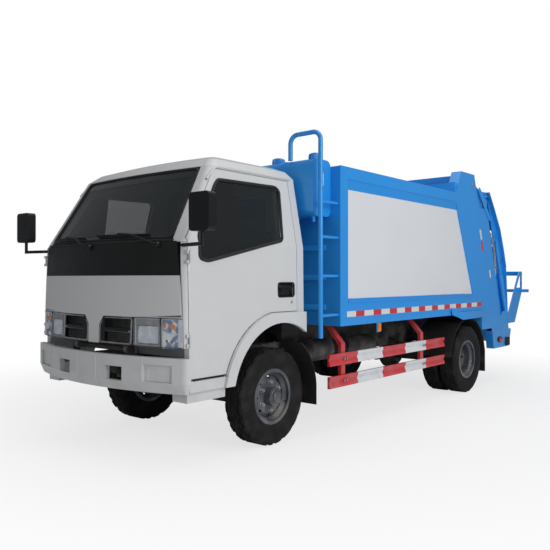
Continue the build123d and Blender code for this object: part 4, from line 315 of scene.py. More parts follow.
def make_guard_paint():
    """Red and white blocks along the guard bars; the posts are red all over."""
    paint = settings("paint")
    finish = Finish("guard_paint", coat=0.25)
    bar_face_y = 0.9738
    station = (ahead(-0.561) - finish.axis("X")) / GUARD_BLOCK
    white = ((station.maths("FLOOR", station) % 2) > 0.5) * (abs(finish.axis("Y")) > bar_face_y)
    worn = finish.ramp(finish.noise(40, 5.0), 0.62, 0.72) * 0.25
    film = finish.ramp(finish.noise(6, 5.0), 0.4, 0.8) * 0.3
    finish.look(
        film, finish.mix(white, tuple(paint.guard), tuple(paint.panel)), (0.35, 0.31, 0.28),
        0.38 + worn + film * 0.4, (finish.noise(220, 1.0), 0.0004, 0.3),
    )


def make_rubbers():
    tyre = Finish("tyre", specular=0.2)
    dust = tyre.ramp(tyre.noise(9, 5.0), 0.42, 0.75) * 0.5
    tyre.look(
        dust, (0.010, 0.010, 0.011), (0.050, 0.046, 0.041), 0.68 + dust * 0.3,
        (tyre.noise(90, 5.0), 0.0012, 0.5),
    )
    rubber = Finish("rubber", roughness=0.6, specular=0.3)
    rubber.look(
        rubber.noise(30, 4.0), (0.012, 0.012, 0.013), (0.03, 0.03, 0.03),
        relief=(rubber.noise(600, 2.0), 0.0003, 0.5),
    )
    flap = Finish("mudguard", specular=0.25)
    mud = flap.ramp(flap.noise(5, 6.0), 0.45, 0.8) * (1 - flap.ramp(flap.axis("Z"), 0.2, 0.8)) * 0.8
    flap.look(
        mud, (0.02, 0.02, 0.021), (0.16, 0.13, 0.1), 0.55 + mud * 0.3,
        (flap.noise(160, 4.0), 0.001, 0.5),
    )


def make_plastics():
    trim = Finish("cab_trim", specular=0.3)
    trim.look(
        trim.noise(5, 3.0), (0.004, 0.0045, 0.005), (0.009, 0.0095, 0.010),
        0.3 + trim.noise(12, 4.0) * 0.2, (trim.noise(900, 2.0), 0.0003, 0.4),
    )
    lining = Finish("cab_lining", roughness=0.7)
    lining.look(
        lining.noise(4, 3.0), (0.19, 0.195, 0.20), (0.26, 0.265, 0.27),
        relief=(lining.cells(380), 0.0006, 0.5),
    )
    seat = Finish("seat_cover", roughness=0.85)
    weave = seat.waves(180, "DIAGONAL", 2.0)
    seat.look(weave, (0.05, 0.052, 0.058), (0.13, 0.135, 0.15), relief=(weave, 0.0008, 0.6))


def make_metals():
    cast = Finish("cast", metallic=0.6)
    oil = cast.ramp(cast.noise(6, 6.0), 0.4, 0.75)
    cast.look(
        oil, (0.05, 0.05, 0.052), (0.13, 0.115, 0.1), 0.45 + oil * 0.3,
        (cast.noise(140, 5.0), 0.001, 0.6),
    )
    chrome = Finish("rod_chrome", metallic=1.0)
    chrome.look(
        chrome.noise(40, 3.0), (0.62, 0.64, 0.66), (0.8, 0.82, 0.84),
        0.08 + chrome.noise(25, 5.0) * 0.14,
    )
    steel = Finish("plated_steel", metallic=0.9)
    steel.look(
        steel.noise(30, 4.0), (0.32, 0.33, 0.34), (0.5, 0.5, 0.5),
        0.28 + steel.noise(60, 4.0) * 0.3, (steel.noise(400, 2.0), 0.0003, 0.4),
    )
    for name, dark, light, metallic, dull in (
        # lamp_silver, on the lamps' backs: a silver grey, lightened and tinted blue as painted
        # reflection of the sky
        ("lamp_silver", (0.66, 0.70, 0.78), (0.80, 0.84, 0.92), 0.15, 0.14),
        # lamp_chrome, on the reflectors and bulbs: its dark blue and white streaks are painted
        # reflection of the sky on chrome
        ("lamp_chrome", (0.16, 0.25, 0.42), (0.96, 0.98, 1.0), 0.35, 0.14),
        ("grey_plastic", (0.20, 0.21, 0.22), (0.27, 0.28, 0.29), 0.0, 0.34),
    ):
        finish = Finish(name, metallic=metallic)
        finish.look(
            finish.ramp(finish.noise(16, 1.0), 0.42, 0.60), dark, light,
            dull + finish.noise(45, 4.0) * 0.22, (finish.noise(300, 2.0), 0.0002, 0.3),
        )
    mirror = Finish("mirror_glass", roughness=0.03, metallic=1.0)
    mirror.look(mirror.noise(3, 2.0), (0.7, 0.72, 0.74), (0.76, 0.78, 0.8))


def make_glass():
    """Tinted glazing, with a black border baked on round the windscreen."""
    glass = Finish("glass", coat=0.6)
    height = glass.axis("Z")
    half_width = 0.770 - (height - 1.604) * 0.1264
    border = glass.ramp(height, 2.094, 2.098) + glass.ramp(
        abs(glass.axis("Y")) - half_width, -0.062, -0.058
    )
    border = border + (1 - glass.ramp(height, 1.640, 1.644))
    fade = glass.ramp(height, 2.060, 2.098) > glass.cells(70, "F1")
    black = glass.ramp(border + fade * 0.6, 0.3, 0.6) * (glass.axis("X") > ahead(0.4))
    glass.look(
        black, (0.012, 0.019, 0.021), (0.002, 0.002, 0.002),
        0.03 + black * 0.22 + glass.noise(8, 4.0) * 0.02,
    )
    glass.set("Alpha", 0.50 + black * 0.50)
    for name, tone, alpha in (
        ("lens_clear", (0.78, 0.8, 0.82), 0.16),
        ("lens_amber", (0.85, 0.24, 0.015), 0.93),
        ("lens_red", (0.55, 0.01, 0.012), 0.95),
        ("lens_white", (0.78, 0.79, 0.8), 0.95),
    ):
        lens = Finish(name, coat=0.7)
        flutes = lens.waves(38, "Y")
        lens.look(
            flutes, shade(tone, 0.85), tone, 0.06 + lens.noise(20, 3.0) * 0.06, (flutes, 0.0008, 0.4)
        )
        lens.set("Alpha", alpha)


def make_tape():
    """Reflective tape in red and white, with its fine honeycomb."""
    for name, tone in (("tape_red", (0.62, 0.03, 0.035)), ("tape_white", (0.75, 0.77, 0.78))):
        tape = Finish(name, coat=0.5)
        cells = tape.cells(240)
        tape.look(
            tape.ramp(cells, 0.02, 0.12), shade(tone, 0.8), tone,
            0.25 + tape.noise(30, 3.0) * 0.15, (cells, 0.0004, 0.3),
        )


# CAD nodes that keep their own shape, by finish
NODE_FINISHES = {
    "cab_paint": ("cab_shell", "front_panel", "cab_skirts", "front_bumper", "door_left", "door_right"),
    "cab_trim": ("front_trim", "mirrors"),
    "cab_lining": ("cab_floor", "dashboard"),
    "glass": ("cab_glass", "door_left_glass", "door_right_glass"),
    "body_blue": (
        "container_side_frames", "container_roof", "container_front_wall", "container_rear_frame",
        "ladder", "tailgate_sides", "tailgate_cover", "hopper_trough",
        "lift_barrels", "packer_carriage", "sweeper_blade", "bin_lifter", "ejector_plate",
    ),
    "body_panel": ("container_sides",),
    "tank_paint": ("front_tank",),
    # container_floor takes the chassis black as painted shade: the container's underside is made dark
    # like the shade beneath it
    "frame_black": ("chassis_frame", "chassis_tanks", "container_floor"),
    "cast": ("front_axle", "rear_axle", "leaf_springs", "powertrain", "knuckle_left",
             "knuckle_right", "tie_rod"),
    "guard_paint": ("side_guards",),
    "mudguard": ("mudguards",),
    "rim_paint": ("front_rim_left", "front_rim_right", "rear_rims_left", "rear_rims_right"),
    "rod_chrome": ("lift_rods",),
}


# Modelling helpers


def only(piece):
    """Selects one piece and makes it the active one."""
    bpy.ops.object.select_all(action="DESELECT")
    piece.select_set(True)
    bpy.context.view_layer.objects.active = piece
    return piece


@contextmanager
def editing(piece, kind="FACE", everything=True):
    """Edit mode on one piece, with everything or nothing selected at the start."""
    only(piece)
    bpy.ops.object.mode_set(mode="EDIT")
    bpy.ops.mesh.select_mode(type=kind)
    bpy.ops.mesh.select_all(action="SELECT" if everything else "DESELECT")
    yield
    bpy.ops.object.mode_set(mode="OBJECT")


def pick(piece, wanted):
    """Selects the faces in edit mode whose middle and normal pass a test."""
    mesh = bmesh.from_edit_mesh(piece.data)
    for face in mesh.faces:
        face.select_set(bool(wanted(face.calc_center_median(), face.normal)))
    bmesh.update_edit_mesh(piece.data)


def begin(name, add, **options):
    """Adds one primitive by itself and names it."""
    bpy.ops.object.select_all(action="DESELECT")
    add(**options)
    piece = bpy.context.active_object
    piece.name = piece.data.name = name
    return piece


def settle(piece):
    """Puts the piece's place into its mesh."""
    only(piece)
    bpy.ops.object.transform_apply(location=True, rotation=True, scale=True)
    return piece


def facing(axis):
    """The turn that takes Z to an axis."""
    return Z_AXIS.rotation_difference(Vector(axis)).to_matrix().to_4x4()


def outward(piece, weld=False):
    """Turns every face outward, after welding points that lie together where asked."""
    with editing(piece):
        if weld:
            bpy.ops.mesh.remove_doubles(threshold=0.00002)
        bpy.ops.mesh.normals_make_consistent(inside=False)
    return piece


def finish_with(piece, kind, **options):
    """Adds a modifier and applies it."""
    only(piece)
    modifier = piece.modifiers.new(kind.lower(), kind)
    for key, value in options.items():
        setattr(modifier, key, value)
    bpy.ops.object.modifier_apply(modifier=modifier.name)
    return piece


def block(name, low, high, edge=0.003, segments=2):
    """A block between two corners, with every edge rounded."""
    low, high = Vector(low), Vector(high)
    piece = settle(begin(
        name, bpy.ops.mesh.primitive_cube_add, size=1, location=(low + high) / 2,
        scale=[abs(c) for c in high - low],
    ))
    with editing(piece, "EDGE"):
        bpy.ops.mesh.bevel(offset=edge, segments=segments, affect="EDGES")
    return piece


def plate(name, outline, thickness, edge):
    """A flat plate in its own XY plane, from an outline, with eased edges."""
    piece = begin(
        name, bpy.ops.mesh.primitive_circle_add, vertices=len(outline), radius=1, fill_type="NGON"
    )
    for vertex, (x, y) in zip(piece.data.vertices, outline):
        vertex.co = (x, y, 0)
    with editing(piece):
        bpy.ops.mesh.extrude_region_move(TRANSFORM_OT_translate={"value": (0, 0, thickness)})
    return finish_with(outward(piece), "BEVEL", width=edge, segments=2, limit_method="ANGLE")


def stand(piece, origin, across, up):
    """Sets a plate's own X along one direction and its Y along another, from an origin."""
    across, up = Vector(across).normalized(), Vector(up).normalized()
    turn = Matrix((across, up, across.cross(up))).transposed()
    piece.matrix_world = Matrix.Translation(origin) @ turn.to_4x4()
    return settle(piece)


def side_plate(name, outline, y, thickness, edge, middle=(0, 0)):
    """A plate along the truck's left side, from a station across inwards."""
    x, z = middle
    return stand(plate(name, outline, thickness, edge), (x, y, z), X_AXIS, Z_AXIS)


def turned(name, stations, spot=(0, 0, 0), axis=Z_AXIS, sides=24, closed=True):
    """A turned part: a circle extruded and resized from station to station (radius, height)."""
    radius, height = stations[0]
    piece = settle(begin(
        name, bpy.ops.mesh.primitive_circle_add, vertices=sides, radius=radius,
        location=(0, 0, height), fill_type="NGON" if closed else "NOTHING",
    ))
    extrude = bpy.ops.mesh.extrude_region_move if closed else bpy.ops.mesh.extrude_edges_move
    with editing(piece, "FACE" if closed else "EDGE"):
        for next_radius, next_height in stations[1:]:
            extrude(TRANSFORM_OT_translate={"value": (0, 0, next_height - height)})
            share = next_radius / radius
            bpy.ops.transform.resize(value=(share, share, 1), center_override=(0, 0, next_height))
            radius, height = next_radius, next_height
    outward(piece, weld=True)
    piece.matrix_world = Matrix.Translation(spot) @ facing(axis)
    return settle(piece)


def circle(count, start=0):
    """Directions spread evenly round a circle, each a cosine and a sine."""
    angles = [2 * math.pi * (index + start) / count for index in range(count)]
    return [(math.cos(angle), math.sin(angle)) for angle in angles]


def rounded(corners, radius):
    """A closed loop of corners with each corner turned into a small arc."""
    loop = []
    corners = [Vector(corner) for corner in corners]
    for before_it, corner, after_it in zip(corners[-1:] + corners, corners, corners[1:] + corners[:1]):
        to_before, to_after = before_it - corner, after_it - corner
        reach = min(radius, to_before.length * 0.45, to_after.length * 0.45)
        start = corner + to_before.normalized() * reach
        end = corner + to_after.normalized() * reach
        for t in (0, 0.25, 0.5, 0.75, 1):
            loop.append(start.lerp(corner, t).lerp(corner.lerp(end, t), t))
    return loop


def rod(name, points, radius, smooth=False, sides=3, closed=False):
    """A round bar or pipe along a route, as a mesh."""
    route = bpy.data.curves.new(name, "CURVE")
    route.dimensions = "3D"
    route.bevel_depth = radius
    route.bevel_resolution = sides
    route.use_fill_caps = True
    line = route.splines.new("NURBS" if smooth else "POLY")
    line.points.add(len(points) - 1)
    for point, spot in zip(line.points, points):
        point.co = (*spot, 1)
    if smooth:
        line.order_u = 3
        line.use_endpoint_u = True
    line.use_cyclic_u = closed
    piece = bpy.data.objects.new(name, route)
    bpy.context.scene.collection.objects.link(piece)
    only(piece)
    bpy.ops.object.convert(target="MESH")
    return outward(bpy.context.active_object, weld=True)


def surface(name, rows, flipped=False):
    """An open surface through rows of points."""
    piece = begin(name, bpy.ops.mesh.primitive_plane_add, size=1)
    mesh = bmesh.new()
    grid = [[mesh.verts.new(point) for point in row] for row in rows]
    for lower, upper in zip(grid, grid[1:]):
        for a, b, c, d in zip(lower, lower[1:], upper[1:], upper):
            mesh.faces.new((d, c, b, a) if flipped else (a, b, c, d))
    mesh.to_mesh(piece.data)
    mesh.free()
    return piece


def band(name, path, width, thickness, across):
    """A flat strip along a path, with its width along one direction."""
    across = Vector(across).normalized() * (width / 2)
    piece = surface(name, [[Vector(p) - across, Vector(p) + across] for p in path])
    return outward(finish_with(piece, "SOLIDIFY", thickness=thickness, offset=0))


def copied(piece, shift=(0, 0, 0), turn=None):
    """A copy with its own mesh, turned and then moved."""
    twin = piece.copy()
    twin.data = piece.data.copy()
    bpy.context.scene.collection.objects.link(twin)
    twin.data.transform(Matrix.Translation(shift) @ (turn or Matrix.Identity(4)))
    return twin


def joined(name, pieces):
    """Several solids made one piece."""
    only(pieces[0])
    for part in pieces:
        part.select_set(True)
    if len(pieces) > 1:
        bpy.ops.object.join()
    whole = bpy.context.active_object
    whole.name = whole.data.name = name
    return whole


def fit(name, pieces, body, finish, replaces=(), smooth=32, both_sides=False):
    """Makes solids one finished piece, with its material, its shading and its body."""
    piece = joined(name, pieces)
    if both_sides:
        mirrored = outward(copied(piece, turn=Matrix.Scale(-1, 4, Y_AXIS)))
        piece = joined(name, [piece, mirrored])
    piece.data.materials.clear()
    piece.data.materials.append(FINISHES[finish])
    only(piece)
    bpy.ops.object.shade_smooth_by_angle(angle=math.radians(smooth))
    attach(piece, body)
    if replaces:
        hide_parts(*replaces)
    return piece


def discard(*patterns):
    for pattern in patterns:
        bpy.data.objects.remove(pattern)


def skin(node, origin, direction, lift=0):
    """Where a ray first meets a CAD node, lifted off it by a distance."""
    hit, spot, normal, _ = frame["nodes"][node].ray_cast(Vector(origin), Vector(direction))
    if not hit:
        raise RuntimeError(f"no surface of {node} from {tuple(origin)}")
    return spot + normal * lift


def beside(node, side, x, z, lift=0):
    """The spot on a CAD node seen from one side of the truck."""
    return skin(node, (x, side * FAR_SIDE_Y, z), (0, -side, 0), lift)


def before(node, y, z, lift=0):
    """The spot on a CAD node seen from the front of the truck."""
    return skin(node, (FAR_FRONT_X, y, z), (-1, 0, 0), lift)


# Finishes


class TRUCK_OT_finishes(bpy.types.Operator):
    """Make the procedural materials and give them to the CAD nodes that stay"""

    bl_idname = "truck.finishes"
    bl_label = "Finishes"

    def execute(self, context):
        make_paints()
        make_guard_paint()
        make_rubbers()
        make_plastics()
        make_metals()
        make_glass()
        make_tape()
        for finish, nodes in NODE_FINISHES.items():
            for node in nodes:
                for slot in frame["nodes"][node].material_slots:
                    slot.material = FINISHES[finish]
        return {"FINISHED"}


# Wheels


def tyre_section(tread):
    """One tyre's closed section as (radius, station across), from the left bead round to it."""
    outer = TYRE_RADIUS - tread
    half = 0.100
    left = [
        (0.208, 0.074), (0.214, 0.078), (0.232, 0.086), (0.262, 0.0965), (0.290, half),
        (0.312, half), (0.338, 0.0965), (0.356, 0.093), (0.368, 0.089), (outer - 0.003, 0.084),
        (outer, 0.078), (outer, 0.057), (outer, 0.047), (outer, 0.022), (outer, 0.012),
    ]
    inside = [(0.213, -0.060), (0.300, -0.080), (0.352, -0.066), (0.352, 0.066), (0.300, 0.080),
              (0.213, 0.060)]
    return left + [(r, -y) for r, y in reversed(left)] + inside + left[:1]


class TRUCK_OT_tyres(bpy.types.Operator):
    """Model one ribbed tyre and set six of them on the rims"""

    bl_idname = "truck.tyres"
    bl_label = "Tyres"

    def execute(self, context):
        choice = settings("tyre")
        tread, steps = choice.tread_depth, choice.steps
        groove_edges = (0.057, 0.047, 0.022, 0.012)
        ribs = ((0, 0.017), (0.0345, 0.006), (0.0675, 0.006))
        groove_radius, crown_radius, shoulder = 0.376, 0.3745, (0.058, 0.079)
        tyre = turned("tyre", tyre_section(tread), sides=steps, closed=False)
        for vertex in tyre.data.vertices:
            x, y, z = vertex.co
            on_edge = any(abs(abs(z) - edge) < 0.001 for edge in groove_edges)
            if math.hypot(x, y) > groove_radius and on_edge:
                step = round(math.atan2(y, x) / (2 * math.pi) * steps)
                vertex.co.z += choice.zigzag * (1 if step % 2 else -1)

        def on_rib(middle, normal):
            if math.hypot(middle.x, middle.y) < crown_radius or abs(normal.z) > 0.3:
                return False
            across = abs(middle.z)
            step = int(round((math.atan2(middle.y, middle.x) / (2 * math.pi)) * steps - 0.5))
            if across > shoulder[0]:
                return across < shoulder[1] and step % 3 != 0
            return any(abs(across - centre) <= room for centre, room in ribs)

        with editing(tyre, everything=False):
            pick(tyre, on_rib)
            bpy.ops.mesh.inset(thickness=0.0014, depth=tread, use_boundary=True, use_even_offset=True)
        outward(tyre)
        lie = Matrix.Rotation(math.radians(90), 4, "X")
        for name, body, node, _, station, side, middles in WHEELS:
            twins = [copied(tyre, (station, side * y, AXLE_Z), lie) for y in middles]
            fit(name + "_tread", twins, body, "tyre", replaces=(node,), smooth=28)
        discard(tyre)
        return {"FINISHED"}


class TRUCK_OT_wheel_fittings(bpy.types.Operator):
    """Fit the wheel nuts, the hub caps and the valves"""

    bl_idname = "truck.wheel_fittings"
    bl_label = "Wheel fittings"

    def execute(self, context):
        nut = self.nut()
        beyond_stud, valve_way = 0.0155, math.radians(200)
        for name, body, _, rim, station, side, _ in WHEELS:
            axis = Vector((0, side, 0))

            def face(radius, way):
                return beside(rim, side, station + radius * way[0], AXLE_Z + radius * way[1])

            nuts = []
            for way in circle(WHEEL_STUDS, 0.5):
                seat = face(STUD_CIRCLE_RADIUS + beyond_stud, way)
                seat.x = station + STUD_CIRCLE_RADIUS * way[0]
                seat.z = AXLE_Z + STUD_CIRCLE_RADIUS * way[1]
                nuts.append(copied(nut, seat, facing(axis)))
            fit(name + "_nuts", nuts, body, "plated_steel")
            hub_end = face(0.03, (1, 0))
            hub_end.x, hub_end.z = station, AXLE_Z
            hub = [turned(
                "cap",
                [(0.060, -0.002), (0.060, 0.004), (0.054, 0.008), (0.046, 0.008), (0.044, 0.020),
                 (0.036, 0.027), (0.018, 0.030), (0.002, 0.0305)],
                hub_end, axis, sides=32,
            )]
            for cosine, sine in circle(8):
                hub.append(turned(
                    "bolt", [(0.0055, 0.003), (0.0055, 0.0105), (0.0045, 0.012)],
                    hub_end + Vector((0.050 * cosine, 0, 0.050 * sine)), axis, sides=6,
                ))
            fit(name + "_hub_cap", hub, body, "rim_paint")
            lip = face(0.200, (math.cos(valve_way), math.sin(valve_way)))
            steps = ((0.012, -0.03, 0.004), (0.020, 0.004, 0.008), (0.026, 0.012, 0.010))
            stem = rod(
                "stem", [lip + Vector((x, side * y, z)) for x, y, z in steps], 0.0042, smooth=True
            )
            fit(name + "_valve", [stem], body, "rubber")
        discard(nut)
        return {"FINISHED"}

    def nut(self):
        """A wheel nut on its washer, with the end of its stud."""
        body = turned(
            "nut", [(0.0150, 0.003), (0.0178, 0.0045), (0.0178, 0.0165), (0.0150, 0.0185)], sides=6
        )
        washer = turned("washer", [(0.0195, 0), (0.0195, 0.003), (0.0180, 0.004)], sides=20)
        stud = turned("stud", [(0.0112, 0.001), (0.0112, 0.0265), (0.0098, 0.028)], sides=16)
        return joined("nut", [body, washer, stud])


# Cab


class TRUCK_OT_window_seals(bpy.types.Operator):
    """Lay the rubber seals round the windows and the drip rails over the doors"""

    bl_idname = "truck.window_seals"
    bl_label = "Window seals"

    def execute(self, context):
        radius = settings("trim").seal_radius
        middle = Vector((ahead(0.36), 0, 1.76))
        for side, name in NAMED_SIDES:
            loop = []
            for x, z in DOOR_WINDOW:
                corner = Vector((ahead(x), 0, z))
                corner += (corner - middle).normalized() * radius
                loop.append(beside("door_" + name, side, corner.x, corner.z))
            seal = rod("seal", rounded(loop, 0.03), radius, closed=True)
            fit(name + "_window_seal", [seal], name + "_door", "rubber")
            rail = [beside("cab_shell", side, ahead(x), z, lift=0.004) for x, z in DRIP_RAIL]
            fit(name + "_drip_rail", [rod("rail", rail, 0.009, smooth=True)], "cab", "cab_paint")
        screen = [before("cab_glass", y, z, lift=0.002) for y, z in WINDSCREEN]
        seal = rod("seal", rounded(screen, 0.05), radius * 0.9, closed=True)
        fit("windscreen_seal", [seal], "cab", "rubber")
        foot = [before("cab_shell", y, 1.598) for y in (-0.78, -0.6, -0.3, 0, 0.3, 0.6, 0.78)]
        fit("windscreen_foot_seal", [rod("seal", foot, 0.010)], "cab", "rubber")
        slots = [
            rod("slot", [beside("cab_shell", side, x, z) for x, z in PILLAR_SLOT], 0.008)
            for side in SIDES
        ]
        fit("pillar_slots", slots, "cab", "cab_trim")
        return {"FINISHED"}


class TRUCK_OT_door_handles(bpy.types.Operator):
    """Fit a pull handle with its surround and a lock in each door's recess"""

    bl_idname = "truck.door_handles"
    bl_label = "Door handles"

    def execute(self, context):
        low_x, high_x, low_z, high_z = ahead(-0.201), ahead(-0.001), 1.184, 1.296
        middle_x, grip_z, inset = (low_x + high_x) / 2, high_z - 0.030, 0.004
        corners = ((low_x, low_z), (high_x, low_z), (high_x, high_z), (low_x, high_z))
        for side, name in NAMED_SIDES:
            door = "door_" + name
            face = abs(beside(door, side, middle_x, low_z - 0.03).y)
            floor = abs(beside(door, side, middle_x, 1.24).y)
            rim = [(x, side * (face + 0.0015), z) for x, z in corners]
            grip = [
                (low_x + 0.012, side * (floor + 0.004), grip_z),
                (low_x + 0.030, side * (face + 0.006), grip_z),
                (middle_x, side * (face + 0.010), grip_z - 0.004),
                (high_x - 0.030, side * (face + 0.006), grip_z),
                (high_x - 0.012, side * (floor + 0.004), grip_z),
            ]
            handle = [
                rod("surround", rounded(rim, 0.025), 0.006, closed=True),
                block(
                    "back", (low_x + inset, side * (floor - 0.001), low_z + inset),
                    (high_x - inset, side * (floor + 0.003), high_z - inset), edge=0.001,
                ),
                rod("grip", grip, 0.011, smooth=True),
                block(
                    "lever", (low_x + 0.028, side * (floor + 0.002), grip_z - 0.034),
                    (high_x - 0.028, side * (face + 0.004), grip_z - 0.010), edge=0.004, segments=3,
                ),
            ]
            fit(name + "_handle", handle, name + "_door", "cab_trim")
            lock = turned(
                "lock", [(0.0125, -0.002), (0.0125, 0.003), (0.010, 0.005), (0.004, 0.0055)],
                (low_x + 0.030, side * face, low_z - 0.045), (0, side, 0),
            )
            fit(name + "_lock", [lock], name + "_door", "plated_steel")
        return {"FINISHED"}


class TRUCK_OT_wipers(bpy.types.Operator):
    """Set two wipers along the foot of the windscreen"""

    bl_idname = "truck.wipers"
    bl_label = "Wipers"

    def execute(self, context):
        for name, pivot_y, tip_y in (("left", 0.66, -0.02), ("right", -0.06, -0.70)):
            pivot = before("front_trim", pivot_y, 1.565)
            heel_y = pivot_y - 0.10
            blade = [
                before("cab_glass", heel_y + (tip_y - heel_y) * t, 1.632 + 0.012 * t, lift=0.012)
                for t in (0, 0.25, 0.5, 0.75, 1)
            ]
            middle = blade[2] + Vector((0.022, 0, 0.010))
            arm = [
                pivot + Vector((0.022, 0, 0.008)), pivot + Vector((0.034, -0.09, 0.030)),
                middle + Vector((0.004, 0.12, 0.002)), middle,
            ]
            wiper = [
                turned(
                    "boss", [(0.022, -0.004), (0.022, 0.012), (0.015, 0.020), (0.012, 0.026)],
                    pivot, (1, 0, 0.35),
                ),
                band("rubber", blade, 0.016, 0.005, (0.6, 0, 1)),
                rod("bar", [p + Vector((0.010, 0, 0.006)) for p in blade], 0.0055, smooth=True),
                rod("arm", arm, 0.0075, smooth=True),
                block(
                    "clip", middle - Vector((0.014, 0.022, 0.010)),
                    middle + Vector((0.008, 0.022, 0.010)),
                ),
            ]
            fit(name + "_wiper", wiper, "cab", "cab_trim")
        return {"FINISHED"}


def grille_face(y, z):
    """Station of the front panel's skin over the grilles."""
    return 3.2585 - 0.053 * y - 0.0105 * (z - 0.87) / 0.18


class TRUCK_OT_grilles(bpy.types.Operator):
    """Frame each grille, and set a mesh and a bar behind the frame"""

    bl_idname = "truck.grilles"
    bl_label = "Grilles"

    def execute(self, context):
        opening = ((0.078, 0.862), (0.426, 0.862), (0.426, 1.046), (0.128, 1.046), (0.078, 0.985))
        wire, thick = 0.0022, 0.002
        frames, meshes = [], []
        for side in SIDES:

            def front(y, z, back):
                return Vector((grille_face(y, z) - back, side * y, z))

            edge = rounded([front(y, z, -0.002) for y, z in opening], 0.014)
            frames.append(rod("frame", edge, 0.0065, closed=True))
            bar = [front(y, 0.950, 0.004) for y in (0.072, 0.2, 0.32, 0.432)]
            frames.append(band("bar", bar, 0.014, 0.010, Z_AXIS))
            for count in range(1, 15):
                z = 0.858 + 0.0128 * count
                start = 0.084 if z < 0.98 else 0.084 + (z - 0.98) * 0.8
                row = [front(start, z, 0.024), front(0.420, z, 0.024)]
                meshes.append(band("row", row, wire, thick, Z_AXIS))
            for count in range(1, 27):
                y = 0.078 + 0.0130 * count
                top = min(1.044, 0.985 + (y - 0.078) * 1.2)
                column = [front(y, 0.862, 0.0255), front(y, top, 0.0255)]
                meshes.append(band("column", column, wire, thick, Y_AXIS))
        fit("grille_frames", frames, "cab", "grey_plastic")
        fit("grille_mesh", meshes, "cab", "cab_trim")
        return {"FINISHED"}


def lamp_face(y):
    """Station of a headlamp's lens, which curves back towards its outer end."""
    for (y0, x0), (y1, x1) in zip(LAMP_CURVE, LAMP_CURVE[1:]):
        if y <= y1:
            return x0 + (x1 - x0) * (y - y0) / (y1 - y0)
    return LAMP_CURVE[-1][1]


class TRUCK_OT_headlamps(bpy.types.Operator):
    """Build each headlamp: clear lens, bezel, reflector, bulbs and side lamps"""

    bl_idname = "truck.headlamps"
    bl_label = "Headlamps"

    # Group, two stations across, height, depth behind the lens, breadth, thickness
    STRIPS = (
        ("backs", 0.450, 0.868, 0.962, 0.0115, 0.206, 0.004),
        ("bezels", 0.462, 0.684, 1.022, 0.006, 0.040, 0.006),
        ("bezels", 0.462, 0.684, 0.864, 0.006, 0.014, 0.006),
        ("bezels", 0.464, 0.484, 0.945, 0.006, 0.170, 0.006),
        ("bezels", 0.671, 0.691, 0.945, 0.006, 0.170, 0.006),
        ("reflectors", 0.706, 0.832, 0.999, 0.008, 0.088, 0.003),
        ("reflectors", 0.706, 0.832, 0.895, 0.008, 0.096, 0.003),
        ("dividers", 0.687, 0.695, 0.958, 0.004, 0.200, 0.006),
        ("dividers", 0.486, 0.674, 1.000, 0.0045, 0.004, 0.004),
        ("dividers", 0.486, 0.674, 0.872, 0.0045, 0.004, 0.004),
        ("dividers", 0.447, 0.874, 0.854, 0.001, 0.004, 0.004),
        ("dividers", 0.447, 0.874, 1.054, 0.001, 0.004, 0.004),
    )
    # Group, outline, depth behind the lens, sides, places as (across, height)
    ROUNDS = (
        ("indicators", [(0.017, -0.004), (0.017, 0.0), (0.013, 0.004), (0.004, 0.006)], 0.0075, 20,
         ((0.722, 1.004), (0.778, 1.002), (0.802, 0.996))),
        ("bulbs", [(0.0175, -0.004), (0.0175, 0.004), (0.0145, 0.004), (0.0135, 0.001)], 0.0075, 24,
         ((0.742, 0.900), (0.784, 0.896))),
        ("dividers", [(0.008, -0.003), (0.008, 0.003), (0.005, 0.0045)], 0.0065, 16,
         ((0.742, 0.900), (0.784, 0.896))),
    )
    FINISH_OF = {
        "backs": "lamp_silver", "bezels": "grey_plastic", "reflectors": "lamp_chrome",
        "dividers": "cab_trim", "indicators": "lens_amber", "bulbs": "lamp_chrome",
    }

    def execute(self, context):
        lens = copied(frame["nodes"]["headlamps"])
        with editing(lens):
            bpy.ops.mesh.remove_doubles(threshold=0.00002)
        fit("headlamp_lenses", [lens], "cab", "lens_clear", replaces=("headlamps",))
        parts = {group: [] for group in self.FINISH_OF}
        for side in SIDES:

            def front(y, z, back):
                return Vector((lamp_face(y) - back, side * y, z))

            for group, y0, y1, z, back, breadth, thick in self.STRIPS:
                path = [front(y0 + (y1 - y0) * t / 4, z, back) for t in range(5)]
                parts[group].append(band("strip", path, breadth, thick, Z_AXIS))
            for group, outline, back, sides, places in self.ROUNDS:
                for y, z in places:
                    parts[group].append(turned("round", outline, front(y, z, back), X_AXIS, sides))
            parts["reflectors"].append(self.reflector(side))
        for group, finish in self.FINISH_OF.items():
            fit("headlamp_" + group, parts[group], "cab", finish)
        return {"FINISHED"}

    def reflector(self, side):
        """The main reflector: a bowl with a rounded rectangular mouth, in facets."""
        rows, columns = 10, 14
        low_y, high_y, low_z, high_z = 0.487, 0.674, 0.874, 0.998
        behind_lens, bowl_x = 0.007, 3.164
        grid = []
        for row in range(rows + 1):
            line = []
            for column in range(columns + 1):
                u, v = column / columns * 2 - 1, row / rows * 2 - 1
                y = low_y + (high_y - low_y) * (u + 1) / 2
                z = low_z + (high_z - low_z) * (v + 1) / 2
                bowl = (1 - u ** 4) * (1 - v ** 4)
                facet = 0.0022 * math.cos(u * 9) * math.cos(v * 4) * bowl
                depth = bowl * max(0.0, lamp_face(y) - bowl_x)
                line.append((lamp_face(y) - behind_lens - depth + facet, side * y, z))
            grid.append(line)
        piece = surface("reflector", grid, flipped=side < 0)
        return outward(finish_with(piece, "SOLIDIFY", thickness=0.0015, offset=-1))


